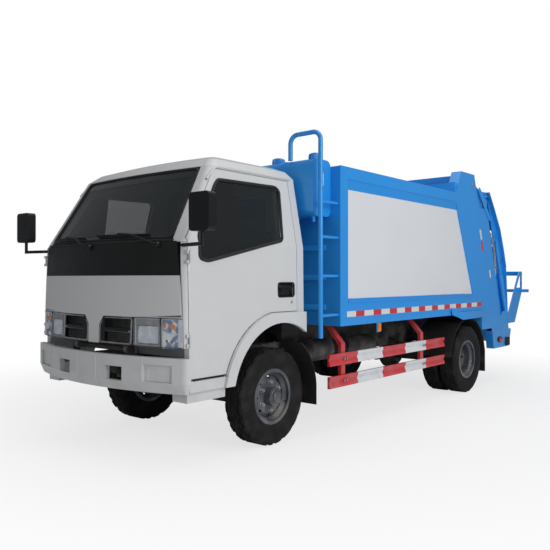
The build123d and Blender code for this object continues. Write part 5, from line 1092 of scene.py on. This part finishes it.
class TRUCK_OT_mirror_glasses(bpy.types.Operator):
    """Set the mirror glasses in their heads, each in a rubber rim"""

    bl_idname = "truck.mirror_glasses"
    bl_label = "Mirror glasses"

    def execute(self, context):
        half_width, half_height = 0.080, 0.113
        outline = rounded(
            [(a * half_width, b * half_height, 0) for a, b in ((-1, -1), (1, -1), (1, 1), (-1, 1))],
            0.024,
        )
        glasses, rims = [], []
        for side in SIDES:
            back = skin("mirrors", (ahead(0.2), side * 1.11, 1.77), X_AXIS)
            glass = plate("glass", [(p.x, p.y) for p in outline], 0.003, edge=0.0008)
            glasses.append(stand(glass, back + Vector((0.001, 0, 0)), -Y_AXIS, Z_AXIS))
            loop = [back + Vector((-0.001, p.x, p.y)) for p in outline]
            rims.append(rod("rim", loop, 0.005, closed=True))
        fit("mirror_glasses", glasses, "cab", "mirror_glass")
        fit("mirror_rims", rims, "cab", "rubber")
        return {"FINISHED"}


class TRUCK_OT_front_details(bpy.types.Operator):
    """Add the bumper's mouldings and creases, and the step treads"""

    bl_idname = "truck.front_details"
    bl_label = "Front details"

    def execute(self, context):
        blank = ((0.612, 0.622), (0.795, 0.622), (0.795, 0.730), (0.625, 0.730))
        creases = ((0.118, 0.560, 0.772), (0.580, 0.622, 0.772))
        mouldings, treads = [], []
        for side in SIDES:
            loop = [before("front_bumper", side * y, z) for y, z in blank]
            mouldings.append(rod("blank", rounded(loop, 0.022), 0.004, closed=True))
            for y, low, high in creases:
                line = [
                    before("front_bumper", side * y, low + (high - low) * t / 4) for t in range(5)
                ]
                mouldings.append(rod("crease", line, 0.003))
            for row in range(3):
                for count in range(12):
                    above = (ahead(0.600) + 0.028 * count, side * (0.900 - 0.022 * row), 0.72)
                    treads.append(turned(
                        "tread", [(0.0075, -0.001), (0.0075, 0.002), (0.005, 0.0035)],
                        skin("cab_skirts", above, -Z_AXIS), sides=8,
                    ))
        fit("bumper_mouldings", mouldings, "chassis", "cab_paint")
        fit("step_treads", treads, "cab", "cab_trim")
        return {"FINISHED"}


# Container


def rear_edge_x(z):
    """Station of the rear posts' back edge."""
    return -1.403 - 0.32 * (2.238 - z)


class TRUCK_OT_side_marks(bpy.types.Operator):
    """Lay the reflective tape, the panels' lips, the arch flares and the marker lamps"""

    bl_idname = "truck.side_marks"
    bl_label = "Side marks"

    def execute(self, context):
        tape_height = settings("trim").tape_height
        tape_z, film = 1.020, 0.0009
        first_red, period, red_length = 1.266, 0.2930, 0.137
        start, end = 1.409, -1.520
        reds, whites = [], []
        for side in SIDES:

            def strip(high, low):
                path = [(x, side * CONTAINER_SIDE_Y, tape_z) for x in (high, low)]
                return band("tape", path, tape_height, film, Z_AXIS)

            edge = start
            for count in range(10):
                high = first_red - period * count
                low = high - red_length
                whites.append(strip(edge, high))
                reds.append(strip(high, max(low, end)))
                edge = low
            for low_z, high_z, kind in ((1.800, 1.920, whites), (1.665, 1.790, reds)):
                path = [
                    (rear_edge_x(z) + 0.036, side * CONTAINER_SIDE_Y, z) for z in (low_z, high_z)
                ]
                kind.append(band("tape", path, 0.046, film, X_AXIS))
        fit("tape_red_blocks", reds, "chassis", "tape_red")
        fit("tape_white_blocks", whites, "chassis", "tape_white")

        lips = [
            block("lip", (-1.250, 1.0495, 1.122), (1.392, 1.0585, 1.136)),
            block("lip", (-0.835, 1.0495, 2.192), (1.392, 1.0555, 2.202), edge=0.0025),
        ]
        fit("panel_lips", lips, "chassis", "body_blue", both_sides=True)
        flare_top, flare_slope = 1.003, 0.22
        flare = side_plate(
            "flare",
            [(-0.651, 0.925), (-0.651, 1.000), (-0.700, flare_top), (-0.885, 0.950),
             (-1.569, 0.948), (-1.600, 0.900), (-1.560, 0.868), (-0.905, 0.860)],
            y=1.0585, thickness=0.008, edge=0.003,
        )
        for vertex in flare.data.vertices:
            vertex.co.y += flare_slope * max(0.0, flare_top - vertex.co.z)
        fit("rear_arch_flares", [flare], "chassis", "body_blue", both_sides=True)
        x = 0.868
        bracket = block("bracket", (x - 0.034, 1.0365, 0.832), (x + 0.034, 1.0435, 0.935), edge=0.002)
        fit("marker_brackets", [bracket], "chassis", "body_blue", both_sides=True)
        lens = block(
            "lens", (x - 0.0275, 1.0430, 0.840), (x + 0.0275, 1.0560, 0.916), edge=0.005, segments=4
        )
        fit("marker_lenses", [lens], "chassis", "lens_amber", both_sides=True)
        return {"FINISHED"}


class TRUCK_OT_container_details(bpy.types.Operator):
    """Stiffen the container's roof and front wall, and add its weld beads and rivets"""

    bl_idname = "truck.container_details"
    bl_label = "Container details"

    def execute(self, context):
        ribs = [
            block("rib", (x - 0.022, -0.925, 2.2995), (x + 0.022, 0.925, 2.3180), edge=0.005)
            for x in (1.15, 0.75, 0.35, -0.05, -0.45)
        ]
        ribs += [
            block("rib", (1.5095, -0.900, z - 0.025), (1.5290, 0.900, z + 0.025), edge=0.005)
            for z in (1.080, 1.340, 1.600)
        ]
        fit("container_ribs", ribs, "chassis", "body_blue")
        seam_y, eaves_y, rivet_y = 1.0375, 1.0400, 1.050
        seams = (
            ([(1.389, seam_y, 1.152 + t * 0.1) for t in range(10)], 0.0035),
            ([(1.388 - t * 0.22, seam_y, 1.1515) for t in range(12)], 0.0035),
            ([(x, eaves_y, 2.300) for x in (1.500, 0.3, -0.74)], 0.0060),
        )
        spots = [(1.47 - 0.205 * count, z) for z in (0.955, 1.070) for count in range(14)]
        spots += [(1.450, 1.18 + 0.135 * count) for count in range(8)]
        rivet = turned(
            "rivet", [(0.0075, -0.001), (0.0075, 0.0015), (0.005, 0.004), (0.002, 0.005)], sides=10
        )
        beads, rivets = [], []
        for side in SIDES:
            for line, radius in seams:
                beads.append(rod("bead", [(x, side * y, z) for x, y, z in line], radius))
            turn = facing((0, side, 0))
            rivets += [copied(rivet, (x, side * rivet_y, z), turn) for x, z in spots]
        discard(rivet)
        fit("weld_beads", beads, "chassis", "body_blue")
        fit("body_rivets", rivets, "chassis", "body_blue")
        return {"FINISHED"}


class TRUCK_OT_tank_details(bpy.types.Operator):
    """Strap the water tank, and fit its sight glass and the grips of its caps"""

    bl_idname = "truck.tank_details"
    bl_label = "Tank details"

    def execute(self, context):
        wall_x, face_x, top_z, foot_z = 1.515, 1.7675, 2.3465, 1.8590
        straps = []
        for y in (-0.62, 0.0, 0.62):
            around = [
                Vector(corner) for corner in
                ((wall_x, y, top_z), (face_x, y, top_z), (face_x, y, foot_z), (wall_x, y, foot_z))
            ]
            path = [around[0]] + rounded(around, 0.060)[5:15] + [around[3]]
            straps.append(band("strap", path, 0.045, 0.004, Y_AXIS))
            for z in (2.180, 2.030):
                straps.append(turned(
                    "bolt", [(0.011, -0.001), (0.011, 0.007), (0.008, 0.009)],
                    (face_x + 0.0015, y, z), X_AXIS, sides=6,
                ))
        fit("tank_straps", straps, "chassis", "tank_paint")
        tube = rod("tube", [(1.654, 0.968, 2.117), (1.654, 0.968, 2.228)], 0.0075)
        fit("sight_glass", [tube], "chassis", "lens_white")
        ends = [
            block("end", (1.641, 0.9490, z - 0.012), (1.667, 0.980, z + 0.012), edge=0.004)
            for z in (2.108, 2.237)
        ]
        fit("sight_glass_ends", ends, "chassis", "plated_steel")
        cap_x, grip_circle = 1.6385, 0.0545
        grips = []
        for y in (0.88, 0.47):
            for cosine, sine in circle(12):
                spot = Vector((cap_x + grip_circle * cosine, y + grip_circle * sine, 2.352))
                grips.append(rod("grip", [spot, spot + Vector((0, 0, 0.036))], 0.0055))
            grips.append(turned(
                "lid", [(0.046, -0.002), (0.046, 0.004), (0.030, 0.010), (0.012, 0.012)],
                (cap_x, y, 2.397),
            ))
        fit("tank_cap_grips", grips, "chassis", "tank_paint")
        return {"FINISHED"}


# Tailgate and bin lifter


class TRUCK_OT_tail_details(bpy.types.Operator):
    """Add the tailgate's flanges, stiffeners, pipes, lamps and buffers"""

    bl_idname = "truck.tail_details"
    bl_label = "Tail details"

    def execute(self, context):
        self.stiffeners()
        self.pipes()
        self.lamps()
        buffer = block(
            "buffer", (-2.455, 1.0195, 0.452), (-2.345, 1.0480, 0.560), edge=0.010, segments=4
        )
        fit("tail_buffers", [buffer], "tailgate", "rubber", both_sides=True)
        mark = band(
            "mark", [(-1.832, 1.0207, 1.438), (-1.862, 1.0207, 1.340)], 0.040, 0.0009, X_AXIS
        )
        fit("tail_marks", [mark], "tailgate", "tape_white", both_sides=True)
        slope = ((-1.560, 2.413), (-1.900, 2.421), (-1.960, 2.385), (-2.240, 2.022))
        ribs = [
            band("rib", [(x, y, z) for x, z in slope], 0.030, 0.010, Y_AXIS)
            for y in (-0.62, -0.20, 0.20, 0.62)
        ]
        fit("tail_cover_ribs", ribs, "tailgate", "body_blue")
        return {"FINISHED"}

    def stiffeners(self):
        """A flange down the back edge, ribs across the side plate and the lift arm's plate."""
        back_edge = ((-2.562, 0.640), (-2.482, 1.500), (-2.402, 1.710), (-2.282, 1.970),
                     (-2.092, 2.220), (-1.925, 2.420))
        ribs = (((-1.990, 1.200), (-2.500, 1.120)), ((-1.960, 1.560), (-2.440, 1.560)),
                ((-1.880, 1.860), (-2.300, 1.900)), ((-1.760, 2.150), (-2.110, 2.170)))
        arm = ((-1.470, 2.405), (-1.510, 2.440), (-1.560, 2.410), (-1.830, 2.110), (-1.850, 2.050),
               (-1.790, 2.060))
        parts = [band("flange", [(x, 0.961, z) for x, z in back_edge], 0.050, 0.007, Y_AXIS)]
        parts += [band("rib", [(x, 0.947, z) for x, z in rib], 0.022, 0.006, Y_AXIS) for rib in ribs]
        parts.append(side_plate("arm", arm, y=1.0265, thickness=0.006, edge=0.002))
        for x, z in ((-1.520, 2.385), (-1.800, 2.085)):
            parts.append(rod("spacer", [(x, 0.990, z), (x, 1.0300, z)], 0.016))
        fit("tail_stiffeners", parts, "tailgate", "body_blue", both_sides=True)

    def pipes(self):
        """Two pipes down the side plate with their clips, a boss and the pins' caps."""
        route = ((-2.045, 0.952, 1.860), (-2.120, 0.954, 1.770), (-2.155, 0.954, 1.600),
                 (-2.175, 0.954, 1.440), (-2.150, 0.952, 1.330))
        parts = [turned(
            "boss", [(0.040, -0.002), (0.040, 0.010), (0.030, 0.016), (0.016, 0.022)],
            (-2.030, 0.9370, 1.885), Y_AXIS, sides=28,
        )]
        for shift in (0.0, 0.030):
            line = [(x - shift, y, z) for x, y, z in route]
            parts.append(rod("pipe", line, 0.0085, smooth=True, sides=4))
        for x, z in ((-2.155, 1.680), (-2.187, 1.470)):
            parts.append(block(
                "clip", (x - 0.030, 0.9365, z - 0.010), (x + 0.030, 0.967, z + 0.010), edge=0.004
            ))
        for x, z in ((-1.645, 2.250), (-1.265, 2.435)):
            parts.append(turned(
                "pin_cap", [(0.030, -0.006), (0.030, 0.003), (0.024, 0.007), (0.010, 0.009)],
                beside("tailgate_sides", 1, x, z), Y_AXIS,
            ))
        fit("tail_pipes", parts, "tailgate", "plated_steel", both_sides=True)

    def lamps(self):
        """An oval lamp on the side plate's foot and a box of three lamps on its back edge."""
        oval = [(0.075 * cosine, 0.038 * sine) for cosine, sine in circle(28)]
        lens_oval = [(a * 0.84, b * 0.76) for a, b in oval]
        middle = (-2.160, 0.545)
        housings = [
            side_plate("housing", oval, 1.0360, 0.016, 0.004, middle),
            block("box", (-2.4990, 0.9420, 0.462), (-2.4740, 1.0160, 0.652), edge=0.005),
        ]
        oval_lens = side_plate("lens", lens_oval, 1.0440, 0.014, 0.005, middle)
        red, amber, clear = [
            block("lens", (-2.5060, 0.9480, low), (-2.4980, 1.0100, high))
            for low, high in ((0.560, 0.646), (0.514, 0.556), (0.468, 0.510))
        ]
        for name, parts, finish, slot in (
            ("tail_lamp_housings", housings, "cab_trim", "mudguard"),
            ("tail_red_lenses", [oval_lens, red], "lens_red", "lamp"),
            ("tail_amber_lenses", [amber], "lens_amber", "lamp"),
            ("tail_clear_lenses", [clear], "lens_white", "lamp"),
        ):
            fit(name, parts, "tailgate", finish, both_sides=True)


class TRUCK_OT_lifter_details(bpy.types.Operator):
    """Add the bolts of the bin lifter's arms and the collars on its bar"""

    bl_idname = "truck.lifter_details"
    bl_label = "Lifter details"

    def execute(self, context):
        bolt = turned("bolt", [(0.013, -0.002), (0.013, 0.007), (0.010, 0.009)], sides=6)
        bolts = [
            copied(bolt, beside("bin_lifter", side, x, z), facing((0, side, 0)))
            for side in SIDES
            for x, z in ((-2.900, 0.900), (-3.000, 1.100), (-3.300, 1.400), (-3.300, 1.260))
        ]
        discard(bolt)
        fit("lifter_bolts", bolts, "bin_lifter", "plated_steel")
        collars = []
        for y in (-0.55, -0.35, 0.35, 0.55):
            spot = skin("bin_lifter", (FAR_BACK_X, y, 1.155), X_AXIS)
            low, high = spot - Vector((0.004, 0.016, 0.020)), spot + Vector((0.030, 0.016, 0.020))
            collars.append(block("collar", low, high, edge=0.004))
        fit("lifter_collars", collars, "bin_lifter", "body_blue")
        return {"FINISHED"}


# Chassis and seats


class TRUCK_OT_chassis_details(bpy.types.Operator):
    """Bolt the frame and the guards, and clamp the springs"""

    bl_idname = "truck.chassis_details"
    bl_label = "Chassis details"

    def execute(self, context):
        radius = settings("trim").bolt_radius
        bolt = turned("bolt", [(radius, -0.001), (radius, 0.007), (radius * 0.8, 0.009)], sides=6)
        rails = frame["nodes"]["chassis_frame"]
        beside_rail_y, rail_inner_y, spring_inner_y, spring_outer_y = 0.6, 0.3, 0.338, 0.432
        rail_bolts, guard_bolts, clamps = [], [], []
        for side in SIDES:
            turn = facing((0, side, 0))
            for count in range(18):
                x = 1.75 - 0.185 * count
                hit, spot, _, _ = rails.ray_cast((x, side * beside_rail_y, 0.700), (0, -side, 0))
                if hit and abs(spot.y) > rail_inner_y:
                    rail_bolts += [copied(bolt, (x, spot.y, z), turn) for z in (0.655, 0.745)]
            guard_bolts += [
                copied(bolt, (x + shift, side * 1.000, z), turn)
                for x in (1.355, -0.115) for z in (0.437, 0.628) for shift in (-0.018, 0.018)
            ]
            for station, low, high in ((REAR_AXLE_X, 0.375, 0.640), (FRONT_AXLE_X, 0.400, 0.600)):
                for x in (station - 0.062, station + 0.062):
                    inner, outer = side * spring_inner_y, side * spring_outer_y
                    route = [(x, inner, low), (x, inner, high), (x, outer, high), (x, outer, low)]
                    clamps.append(rod("clamp", route, 0.0075))
        discard(bolt)
        fit("frame_bolts", rail_bolts, "chassis", "frame_black")
        fit("guard_bolts", guard_bolts, "chassis", "plated_steel")
        fit("spring_clamps", clamps, "chassis", "cast")
        return {"FINISHED"}


class TRUCK_OT_seats(bpy.types.Operator):
    """Pad the two seats: cushions and backs with sewn edges, blown up as cloth"""

    bl_idname = "truck.seats"
    bl_label = "Seats"

    def execute(self, context):
        width, depth, seat_x, seat_y, piping_z = 0.470, 0.440, 2.235, 0.43, 1.232
        cushion = self.pad("cushion", (width, depth, 0.115), 0.055)
        back = self.pad("back", (width - 0.03, 0.475, 0.092), 0.050)
        for side, name in NAMED_SIDES:
            y = side * seat_y
            for kind, pad, spot, up in (
                ("cushion", cushion, (seat_x, y, 1.203), (-1, 0, 0)),
                ("back", back, (1.985, y, 1.512), (-0.185, 0, 1)),
            ):
                twin = outward(stand(copied(pad), spot, Y_AXIS, up))
                fit(f"{name}_seat_{kind}", [twin], "cab", "seat_cover", replaces=("seats",),
                        smooth=60)
            loop = [
                (seat_x + a * depth * 0.47, y + b * width * 0.47, piping_z)
                for a, b in ((-1, -1), (1, -1), (1, 1), (-1, 1))
            ]
            piping = rod("piping", rounded(loop, 0.06), 0.0040, closed=True)
            fit(name + "_seat_piping", [piping], "cab", "cab_trim")
        discard(cushion, back)
        return {"FINISHED"}

    def pad(self, name, size, corner):
        """One pad about its own centre, crowned and drawn in at its corners."""
        width, _, thick = size
        pad = block(
            name, [-c / 2 for c in size], [c / 2 for c in size], edge=min(corner, thick * 0.42),
            segments=4,
        )
        finish_with(pad, "REMESH", mode="VOXEL", voxel_size=0.0065)
        before_cloth = [v.co.copy() for v in pad.data.vertices]
        last_frame, limit, seam_depth, seam_width = 20, 0.014, 0.007, 0.022
        only(pad)
        cloth = pad.modifiers.new("cloth", "CLOTH")
        cloth.settings.use_pressure = True
        cloth.settings.uniform_pressure_force = 4.0
        cloth.settings.effector_weights.gravity = 0.0
        cloth.settings.quality = 4
        cloth.point_cache.frame_start, cloth.point_cache.frame_end = 1, last_frame
        for step in range(1, last_frame + 1):
            bpy.context.scene.frame_set(step)
        bpy.ops.object.modifier_apply(modifier=cloth.name)
        bpy.context.scene.frame_set(1)
        for vertex, start in zip(pad.data.vertices, before_cloth):
            move = vertex.co - start
            if move.length > limit:
                vertex.co = start + move.normalized() * limit
        finish_with(pad, "SMOOTH", factor=0.5, iterations=2)
        for vertex in pad.data.vertices:
            x, _, z = vertex.co
            for seam in (-0.16, 0.16):
                pull = max(0.0, 1 - abs(x / width - seam) / seam_width)
                vertex.co.z -= seam_depth * pull * pull * (1 if z > 0 else -1) * (abs(z) > thick * 0.2)
        return pad


# Stage


class TRUCK_OT_stage(bpy.types.Operator):
    """Set the floor, the lamps, the even sky and the camera"""

    bl_idname = "truck.stage"
    bl_label = "Stage"

    def execute(self, context):
        self.floor()
        self.lamps()
        self.sky()
        self.camera()
        bpy.context.scene.view_settings.view_transform = "Standard"
        return {"FINISHED"}

    def hang(self, name, data):
        """Puts a lamp or a camera in the scene."""
        holder = bpy.data.objects.new(name, data)
        bpy.context.scene.collection.objects.link(holder)
        return holder

    def floor(self):
        """A matt floor that the camera sees turn white away from the truck."""
        floor = begin("floor", bpy.ops.mesh.primitive_plane_add, size=160, location=(0, 0, 0))
        finish = Finish("floor_white", roughness=0.9)
        finish.set("Base Color", (0.80, 0.80, 0.80, 1))
        seen = finish.node("ShaderNodeLightPath", output="Is Camera Ray")
        distance = finish.node(
            "ShaderNodeVectorMath", {"operation": "LENGTH"}, {0: finish.place}, output="Value"
        )
        far_white = 0.72 + finish.ramp(distance, 2.0, 6.0) * 0.28
        emission = finish.node("ShaderNodeEmission", inputs={"Color": (1, 1, 1, 1), "Strength": 1.0})
        matt = Field(finish, finish.shader.outputs[0])
        blend = finish.node("ShaderNodeMixShader", inputs={0: seen * far_white, 1: matt, 2: emission})
        surface_socket = finish.tree.nodes["Material Output"].inputs["Surface"]
        finish.tree.links.new(blend.socket, surface_socket)
        floor.data.materials.append(finish.material)

    def lamps(self):
        light = settings("light")
        for name, energy, size, spot, aim in (
            ("key", light.key, 6.0, (2.8, 9.5, 4.6), (0.0, 0.0, 1.1)),
            ("top", light.top, 8.0, (0.5, 1.0, 9.0), (0.0, 0.0, 1.0)),
            ("front_fill", light.key * 0.05, 5.0, (9.5, 0.5, 3.0), (2.5, 0.0, 1.2)),
        ):
            lamp = bpy.data.lights.new(name, "AREA")
            lamp.energy, lamp.size = energy, size
            holder = self.hang(name, lamp)
            holder.location = spot
            holder.rotation_euler = (Vector(aim) - Vector(spot)).to_track_quat("-Z", "Y").to_euler()

    def sky(self):
        """An even sky that the camera sees as white, also through glass."""
        world = bpy.context.scene.world = bpy.data.worlds.new("even_sky")
        world.use_nodes = True
        nodes, links = world.node_tree.nodes, world.node_tree.links
        back = nodes["Background"]
        back.inputs["Color"].default_value = (0.93, 0.96, 1.0, 1)
        back.inputs["Strength"].default_value = settings("light").sky
        white = nodes.new("ShaderNodeBackground")
        white.inputs["Color"].default_value = (1, 1, 1, 1)
        path = nodes.new("ShaderNodeLightPath")
        seen = nodes.new("ShaderNodeMath")
        seen.operation = "MAXIMUM"
        blend = nodes.new("ShaderNodeMixShader")
        for output, socket in (
            (path.outputs["Is Camera Ray"], seen.inputs[0]),
            (path.outputs["Is Transmission Ray"], seen.inputs[1]),
            (seen.outputs[0], blend.inputs[0]),
            (back.outputs[0], blend.inputs[1]),
            (white.outputs[0], blend.inputs[2]),
            (blend.outputs[0], nodes["World Output"].inputs["Surface"]),
        ):
            links.new(output, socket)

    def camera(self):
        """The photograph's own eye point, direction and field of view."""
        eye = (6.1172, 4.1984, 1.3324)
        yaw, pitch = 3.8415, 0.0051
        focal_pixels, picture_pixels, film = 648.47, 550, 36.0
        lens = bpy.data.cameras.new("photo_camera")
        lens.sensor_width = film
        lens.lens = focal_pixels / picture_pixels * film
        lens.clip_end = 500
        camera = bpy.context.scene.camera = self.hang("photo_camera", lens)
        camera.location = eye
        camera.rotation_euler = (math.pi / 2 + pitch, 0, yaw - math.pi / 2)


PIECE_OPERATORS = (
    TRUCK_OT_finishes,
    TRUCK_OT_tyres,
    TRUCK_OT_wheel_fittings,
    TRUCK_OT_window_seals,
    TRUCK_OT_door_handles,
    TRUCK_OT_wipers,
    TRUCK_OT_grilles,
    TRUCK_OT_headlamps,
    TRUCK_OT_mirror_glasses,
    TRUCK_OT_front_details,
    TRUCK_OT_side_marks,
    TRUCK_OT_container_details,
    TRUCK_OT_tank_details,
    TRUCK_OT_tail_details,
    TRUCK_OT_lifter_details,
    TRUCK_OT_chassis_details,
    TRUCK_OT_seats,
    TRUCK_OT_stage,
)
GROUPS = (
    ("paint", PaintSettings), ("tyre", TyreSettings), ("trim", TrimSettings), ("light", LightSettings),
)


class TRUCK_PT_sidebar(bpy.types.Panel):
    """The truck's operators and settings"""

    bl_idname = "TRUCK_PT_sidebar"
    bl_label = "Refuse truck"
    bl_space_type = "VIEW_3D"
    bl_region_type = "UI"
    bl_category = "Refuse truck"

    def draw(self, context):
        for name, _ in GROUPS:
            group = settings(name)
            box = self.layout.box()
            for prop in group.bl_rna.properties:
                if prop.identifier not in ("rna_type", "name"):
                    box.prop(group, prop.identifier)
        for operator in PIECE_OPERATORS:
            self.layout.operator(operator.bl_idname)


def register():
    for name, group in GROUPS:
        bpy.utils.register_class(group)
        setattr(bpy.types.Scene, "truck_" + name, bpy.props.PointerProperty(type=group))
    for operator in PIECE_OPERATORS:
        bpy.utils.register_class(operator)
    bpy.utils.register_class(TRUCK_PT_sidebar)


def unregister():
    bpy.utils.unregister_class(TRUCK_PT_sidebar)
    for operator in reversed(PIECE_OPERATORS):
        bpy.utils.unregister_class(operator)
    for name, group in GROUPS:
        delattr(bpy.types.Scene, "truck_" + name)
        bpy.utils.unregister_class(group)


def main():
    register()
    for operator in PIECE_OPERATORS:
        family, action = operator.bl_idname.split(".")
        getattr(getattr(bpy.ops, family), action)()


if __name__ == "__main__":
    main()
